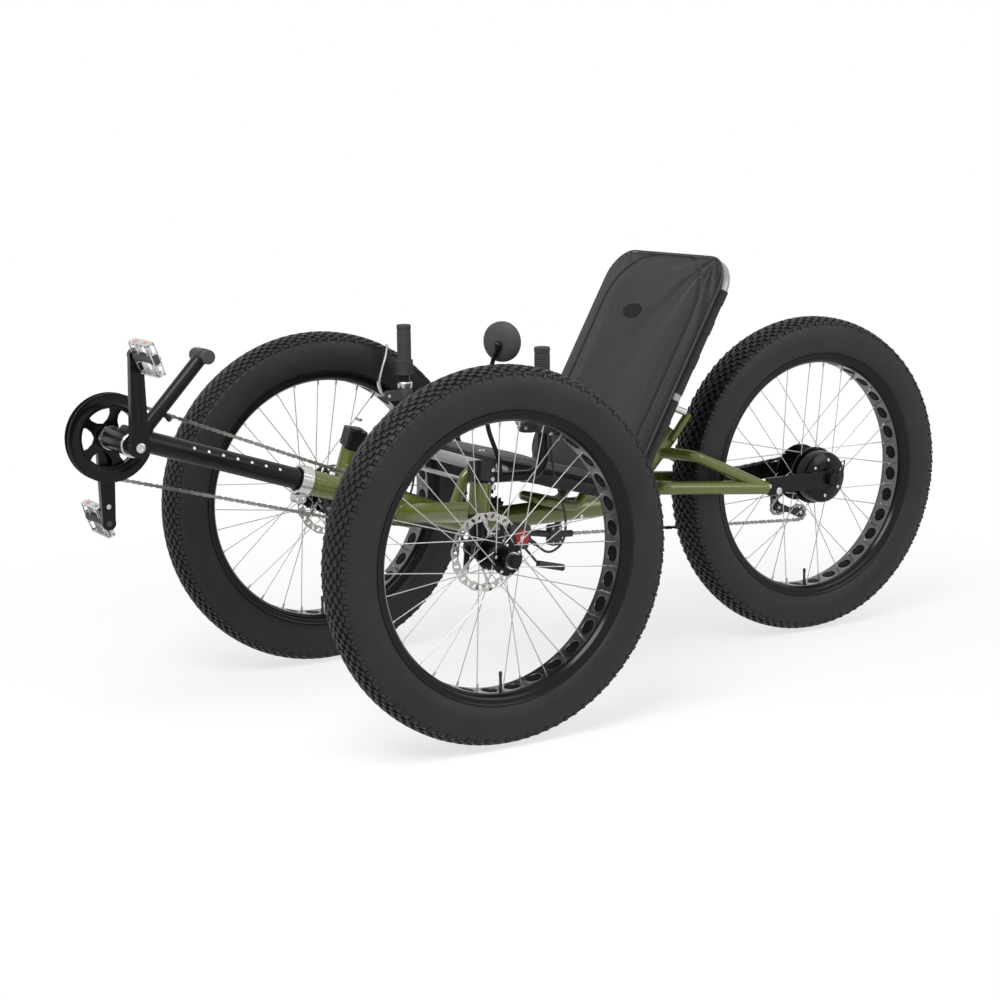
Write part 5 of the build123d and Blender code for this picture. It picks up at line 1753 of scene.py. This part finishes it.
# ---- Frame ----
@dataclass
class FrameTrim:
    """Weld beads, bolts, boom marks and hub covers of the chassis."""

    dots: int = 7
    dot_first: float = -471.0
    dot_last: float = -289.0

    def build(self) -> None:
        """Builds all the trim."""
        self.welds()
        self.boom_marks()
        self.clamp()
        self.rear()

    def welds(self) -> None:
        """Beads at every joint of the painted tubes."""
        shape = Shape()
        arm_r, spine_r, mast_r = 20.5, 25.4, 22.0
        spine = at(0, -235.0, spine_z(-235.0))
        slope = (at(0, 163.0, spine_z(163.0)) - spine).normalized()
        mast, mast_way = at(0, *MAST_FOOT), lean(46.5)
        for side in (1, -1):
            root, tip = at(side * 13.4, -5.0, 399.0), kingpin(side, 446.0)
            way = (tip - root).normalized()
            pin = (kingpin(side, 500.0) - kingpin(side, 400.0)).normalized()
            middle = tip - way * 80 * MM
            shape.weld(middle, -way, arm_r, spine, slope, spine_r)
            shape.weld(middle, way, arm_r, tip, pin, 21.5)
            share = (side * 196.0 * MM - root.x) / (tip.x - root.x)
            stand = root + (tip - root) * share
            up = (at(side * 196.0, 42.0, 510.0) - stand).normalized()
            shape.weld(stand + up * 60 * MM, -up, 11.0, stand, way, arm_r, 1.6)
            for up_by, x, behind, z, r in ((46.0, 80.0, 616.0, 400.0, 15.5), (146.0, 74.0, 708.0, 462.0, 13.0)):
                start = mast + (mast_way * up_by + ACROSS * side * 8) * MM
                out = (at(side * x, behind, z) - start).normalized()
                shape.weld(start + out * 60 * MM, -out, r, mast, mast_way, mast_r, 1.8)
        shape.weld(mast + mast_way * 90 * MM, -mast_way, mast_r, at(0, 400.0, 362.0), BEHIND, spine_r)
        shape.finish("weld_beads", Finish.FRAME, "frame", "frame_green", smooth=60)

    def boom_marks(self) -> None:
        """Row of white length marks, the boss bolt and the post's end caps."""
        marks, caps = Shape(), Shape()
        way = Vector((0, 1, -math.tan(SPINE_SLOPE))).normalized()
        facing = (ACROSS * 0.86 + Vector((0, -way.z, way.y)) * 0.5).normalized()
        dot = ((21.3, 0.0), (21.75, 0.0), (21.7, 3.0), (21.2, 3.2))
        for k in range(self.dots):
            behind = self.dot_first + (self.dot_last - self.dot_first) * k / (self.dots - 1)
            marks.spin(dot, at(0, behind, spine_z(behind)), facing, way, 16, closed=False)
        post, rise = at(0, -580.0, 605.0), lean(47.0)
        cap = ((30.0, 14.2), (31.5, 14.2), (33.0, 12.5), (33.4, 4.0), (33.4, 0.0))
        groove = ((15.0, 14.05), (15.3, 14.7), (16.2, 14.7), (16.5, 14.05))
        for side in (1, -1):
            for profile in (cap, groove):
                caps.spin(profile, post + rise * 210 * MM, ACROSS * side, UP, 32, closed=False)
        front = Vector((0, rise.z, -rise.y))
        caps.bolt(post + (rise * 74 + front * 26.5) * MM, front, 6.2, 4.0)
        marks.finish("boom_marks", Finish.DOTS, "frame", "boom_black")
        caps.finish("post_caps", Finish.PLASTIC, "frame", "boom_black", smooth=35)

    def clamp(self) -> None:
        """Cross bolts of the boom clamp and bolts of the cradle."""
        bolts = Shape()
        for behind in (-246.0, -232.0):
            for side in (1, -1):
                bolts.bolt(at(side * 13.0, behind, spine_z(-235.0) - 39.4), ACROSS * side, 4.4, 3.2)
        for side in (1, -1):
            bolts.bolt(at(side * 46.6, 419.0, 352.0), ACROSS * side, 4.6, 2.6)
        bolts.finish("chassis_bolts", Finish.SILVER, "frame", "spoke_steel")

    def rear(self) -> None:
        """Drum cover, dropout bolts, the axle's end caps and its bent bracket."""
        cover, bolts, plate, caps, bracket = Shape(), Shape(), Shape(), Shape(), Shape()
        hub = at(0, *REAR_AXLE)
        drum = ((29.5, 30.0), (29.5, 55.0), (33.0, 60.5), (60.0, 61.0), (68.0, 58.5), (73.0, 50.0), (75.0, 34.0),
                (77.0, 24.0), (77.0, 19.2))
        cover.spin(drum, hub, ACROSS, UP, 72, closed=False)
        for x in (-20.0, -12.0, -4.0, 4.0, 12.0, 20.0):
            cover.spin(((x - 2, 45.0), (x - 1.4, 49.2), (x + 1.4, 49.2), (x + 2, 45.0)), hub, ACROSS, UP, 60)
        for a in turns(6, 0.4):
            bolts.bolt(hub + (radial(a) * 42 + ACROSS * 74.4) * MM, ACROSS, 3.8, 1.8)
        cover.finish("rear_drum_cover", Finish.GLOSS_BLACK, "wheel_rear", "hub_black", smooth=35)
        bolts.finish("rear_drum_bolts", Finish.SILVER, "wheel_rear", "spoke_steel")
        cap = ((99.2, 15.4), (103.6, 15.4), (105.0, 13.0), (105.0, 6.0), (104.0, 5.4), (104.0, 0.0))
        for side in (1, -1):
            for behind, z, head, height in ((935.0, 362.0, 8.0, 2.2), (908.0, 375.0, 5.0, 1.8)):
                plate.bolt(at(side * 90.1, behind, z), ACROSS * side, head, height)
            caps.spin(cap, hub, ACROSS * side, UP, 6, closed=False)
        plate.finish("dropout_bolts", Finish.SILVER, "frame", "spoke_steel")
        caps.finish("axle_caps", Finish.BLACK, "frame", "boom_black", smooth=20)
        loop = ((1103, 384), (1106, 400), (1112, 414), (1122, 417), (1119, 397), (1116, 377), (1106, 379),
                (1103, 384))
        for line, r in ((loop, 1.6), (((1107, 402), (1120, 406)), 1.3), (((1105, 391), (1118, 392)), 1.3)):
            bracket.tube([at(100.0, behind, z) for behind, z in line], r, sides=8)
        bracket.finish("axle_bracket", Finish.BLACK, "frame", "boom_black")


# ---- Studio ----
@dataclass
class Studio:
    """Pale floor, soft lamps and the camera."""

    azimuth: float = math.radians(58.676)
    elevation: float = math.radians(10.504)
    roll: float = math.radians(-0.6304)
    place: tuple[float, float, float] = (3.664186, -2.373354, 1.195946)
    lens: float = 72.902
    sensor: float = 36.0
    floor_size: float = 60.0
    floor_white: float = 0.72
    floor_fade: tuple[float, float] = (0.9, 1.9)
    world_level: float = 0.50
    key_level: float = 150.0
    fill_level: float = 40.0

    def camera(self) -> None:
        """Places the camera at the viewing angle."""
        back = Vector((math.sin(self.azimuth) * math.cos(self.elevation),
                       -math.cos(self.azimuth) * math.cos(self.elevation), math.sin(self.elevation)))
        right = (-back).cross(UP).normalized()
        up = right.cross(-back)
        c, s = math.cos(self.roll), math.sin(self.roll)
        across, over = right * c + up * s, right * -s + up * c
        data = bpy.data.cameras.new("camera")
        data.lens, data.sensor_width = self.lens, self.sensor
        data.clip_end = 100.0
        camera = bpy.data.objects.new("camera", data)
        turn = Matrix((across, over, back)).transposed().to_4x4()
        camera.matrix_world = Matrix.Translation(self.place) @ turn
        bpy.context.scene.collection.objects.link(camera)
        bpy.context.scene.camera = camera

    def floor(self) -> None:
        """Plain pale floor that keeps the trike's shadow."""
        half = self.floor_size / 2
        mesh = bpy.data.meshes.new("floor")
        corners = [(-half, -half, 0), (half, -half, 0), (half, half, 0), (-half, half, 0)]
        mesh.from_pydata(corners, [], [(0, 1, 2, 3)])
        s = Surface("pale_floor")
        speck = s.noise(3.0, 2.0)
        s.finish(Base_Color=s.mix(speck, (0.90, 0.90, 0.90), (0.92, 0.92, 0.92)), Roughness=0.9,
                 Specular_IOR_Level=0.1)
        white = s.node("ShaderNodeEmission", {}, {"Color": (1.0, 1.0, 1.0), "Strength": 1.0})
        reach = s.node("ShaderNodeVectorMath", {"operation": "LENGTH"}, {0: s.place()}, output="Value")
        fade = reach.ramp(*self.floor_fade) * (1.0 - self.floor_white) + self.floor_white
        both = s.node("ShaderNodeMixShader", {}, {0: s.seen() * fade, 1: Socket(s, s.shader.outputs[0]), 2: white})
        s.feed(s.nodes["Material Output"].inputs["Surface"], both)
        mesh.materials.append(s.material)
        floor = bpy.data.objects.new("floor", mesh)
        bpy.context.scene.collection.objects.link(floor)

    def world(self) -> None:
        """White surroundings that light the trike evenly."""
        world = bpy.data.worlds.new("surroundings")
        world.use_nodes = True
        sky = NodeTree(world.node_tree)
        background = sky.nodes["Background"]
        sky.feed(background.inputs["Color"], (1.0, 1.0, 1.0))
        sky.feed(background.inputs["Strength"], sky.seen() * (1.0 - self.world_level) + self.world_level)
        bpy.context.scene.world = world

    def lamp(self, name: str, place: Vector, aim: Vector, size: float, power: float) -> None:
        """One square soft lamp.

        Args:
            name: The lamp's name.
            place: Where it hangs.
            aim: What it points at.
            size: Side of its square.
            power: Power in watts.
        """
        data = bpy.data.lights.new(name, "AREA")
        data.shape, data.size, data.energy = "SQUARE", size, power
        lamp = bpy.data.objects.new(name, data)
        lamp.location = place
        lamp.rotation_euler = (aim - place).to_track_quat("-Z", "Y").to_euler()
        bpy.context.scene.collection.objects.link(lamp)

    def build(self) -> None:
        """Sets up the whole studio."""
        self.camera()
        self.floor()
        self.world()
        aim = Vector((0, 0, 0.4))
        self.lamp("key", Vector((1.5, -2.2, 3.6)), aim, 2.2, self.key_level)
        self.lamp("fill", Vector((3.2, 2.2, 2.2)), aim, 2.0, self.fill_level)
        bpy.context.scene.view_settings.view_transform = "Standard"


# ---- Whole trike ----
def dress_frame() -> None:
    """Finishes of every CAD node that keeps its own mesh."""
    dress(Finish.FRAME, "spine", "cross_arms", "seat_supports", "seat_mast", "chainstays", "seatstays",
          "seat_cradle")
    dress(Finish.BLACK, "boom", "dropouts", "knuckle_left", "knuckle_right", "handlebar_left",
          "handlebar_right", "rear_axle")
    dress(Finish.SILVER, "boom_clamp", "tie_rod", "seat_struts")
    dress(Finish.SEAT_TUBE, "seat_base_frame", "seat_back_frame")
    dress(Finish.CLOTH, "seat_base", "seat_back")
    dress(Finish.CHAIN, "chain", "cassette")
    dress(Finish.PLASTIC, "chain_idlers", "derailleur", "brake_lever_left", "brake_lever_right", "mirror",
          "chain_tube", "brake_cable_left", "brake_cable_right", "caliper_left", "caliper_right")
    dress(Finish.RUBBER, "grip_left", "grip_right")
    dress(Finish.ROTOR, "rotor_left", "rotor_right")
    dress(Finish.GLOSS_BLACK, "chainring", "crankset")
    dress(Finish.CAST, "pedal_left", "pedal_right")


def main() -> None:
    """Builds the studio and every sub-assembly in order."""
    logging.basicConfig(level=logging.INFO, format="%(message)s")
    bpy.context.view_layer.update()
    Studio().build()
    dress_frame()
    for name, body in (("front_left", "wheel_left"), ("front_right", "wheel_right"), ("rear", "wheel_rear")):
        Wheel(name, body).build()
    for name, side in (("left", 1), ("right", -1)):
        Brake(name, side).build()
        Cockpit(name, side).build()
    Drive().build()
    FrameTrim().build()
    Seat().build()


if __name__ == "__main__":
    main()
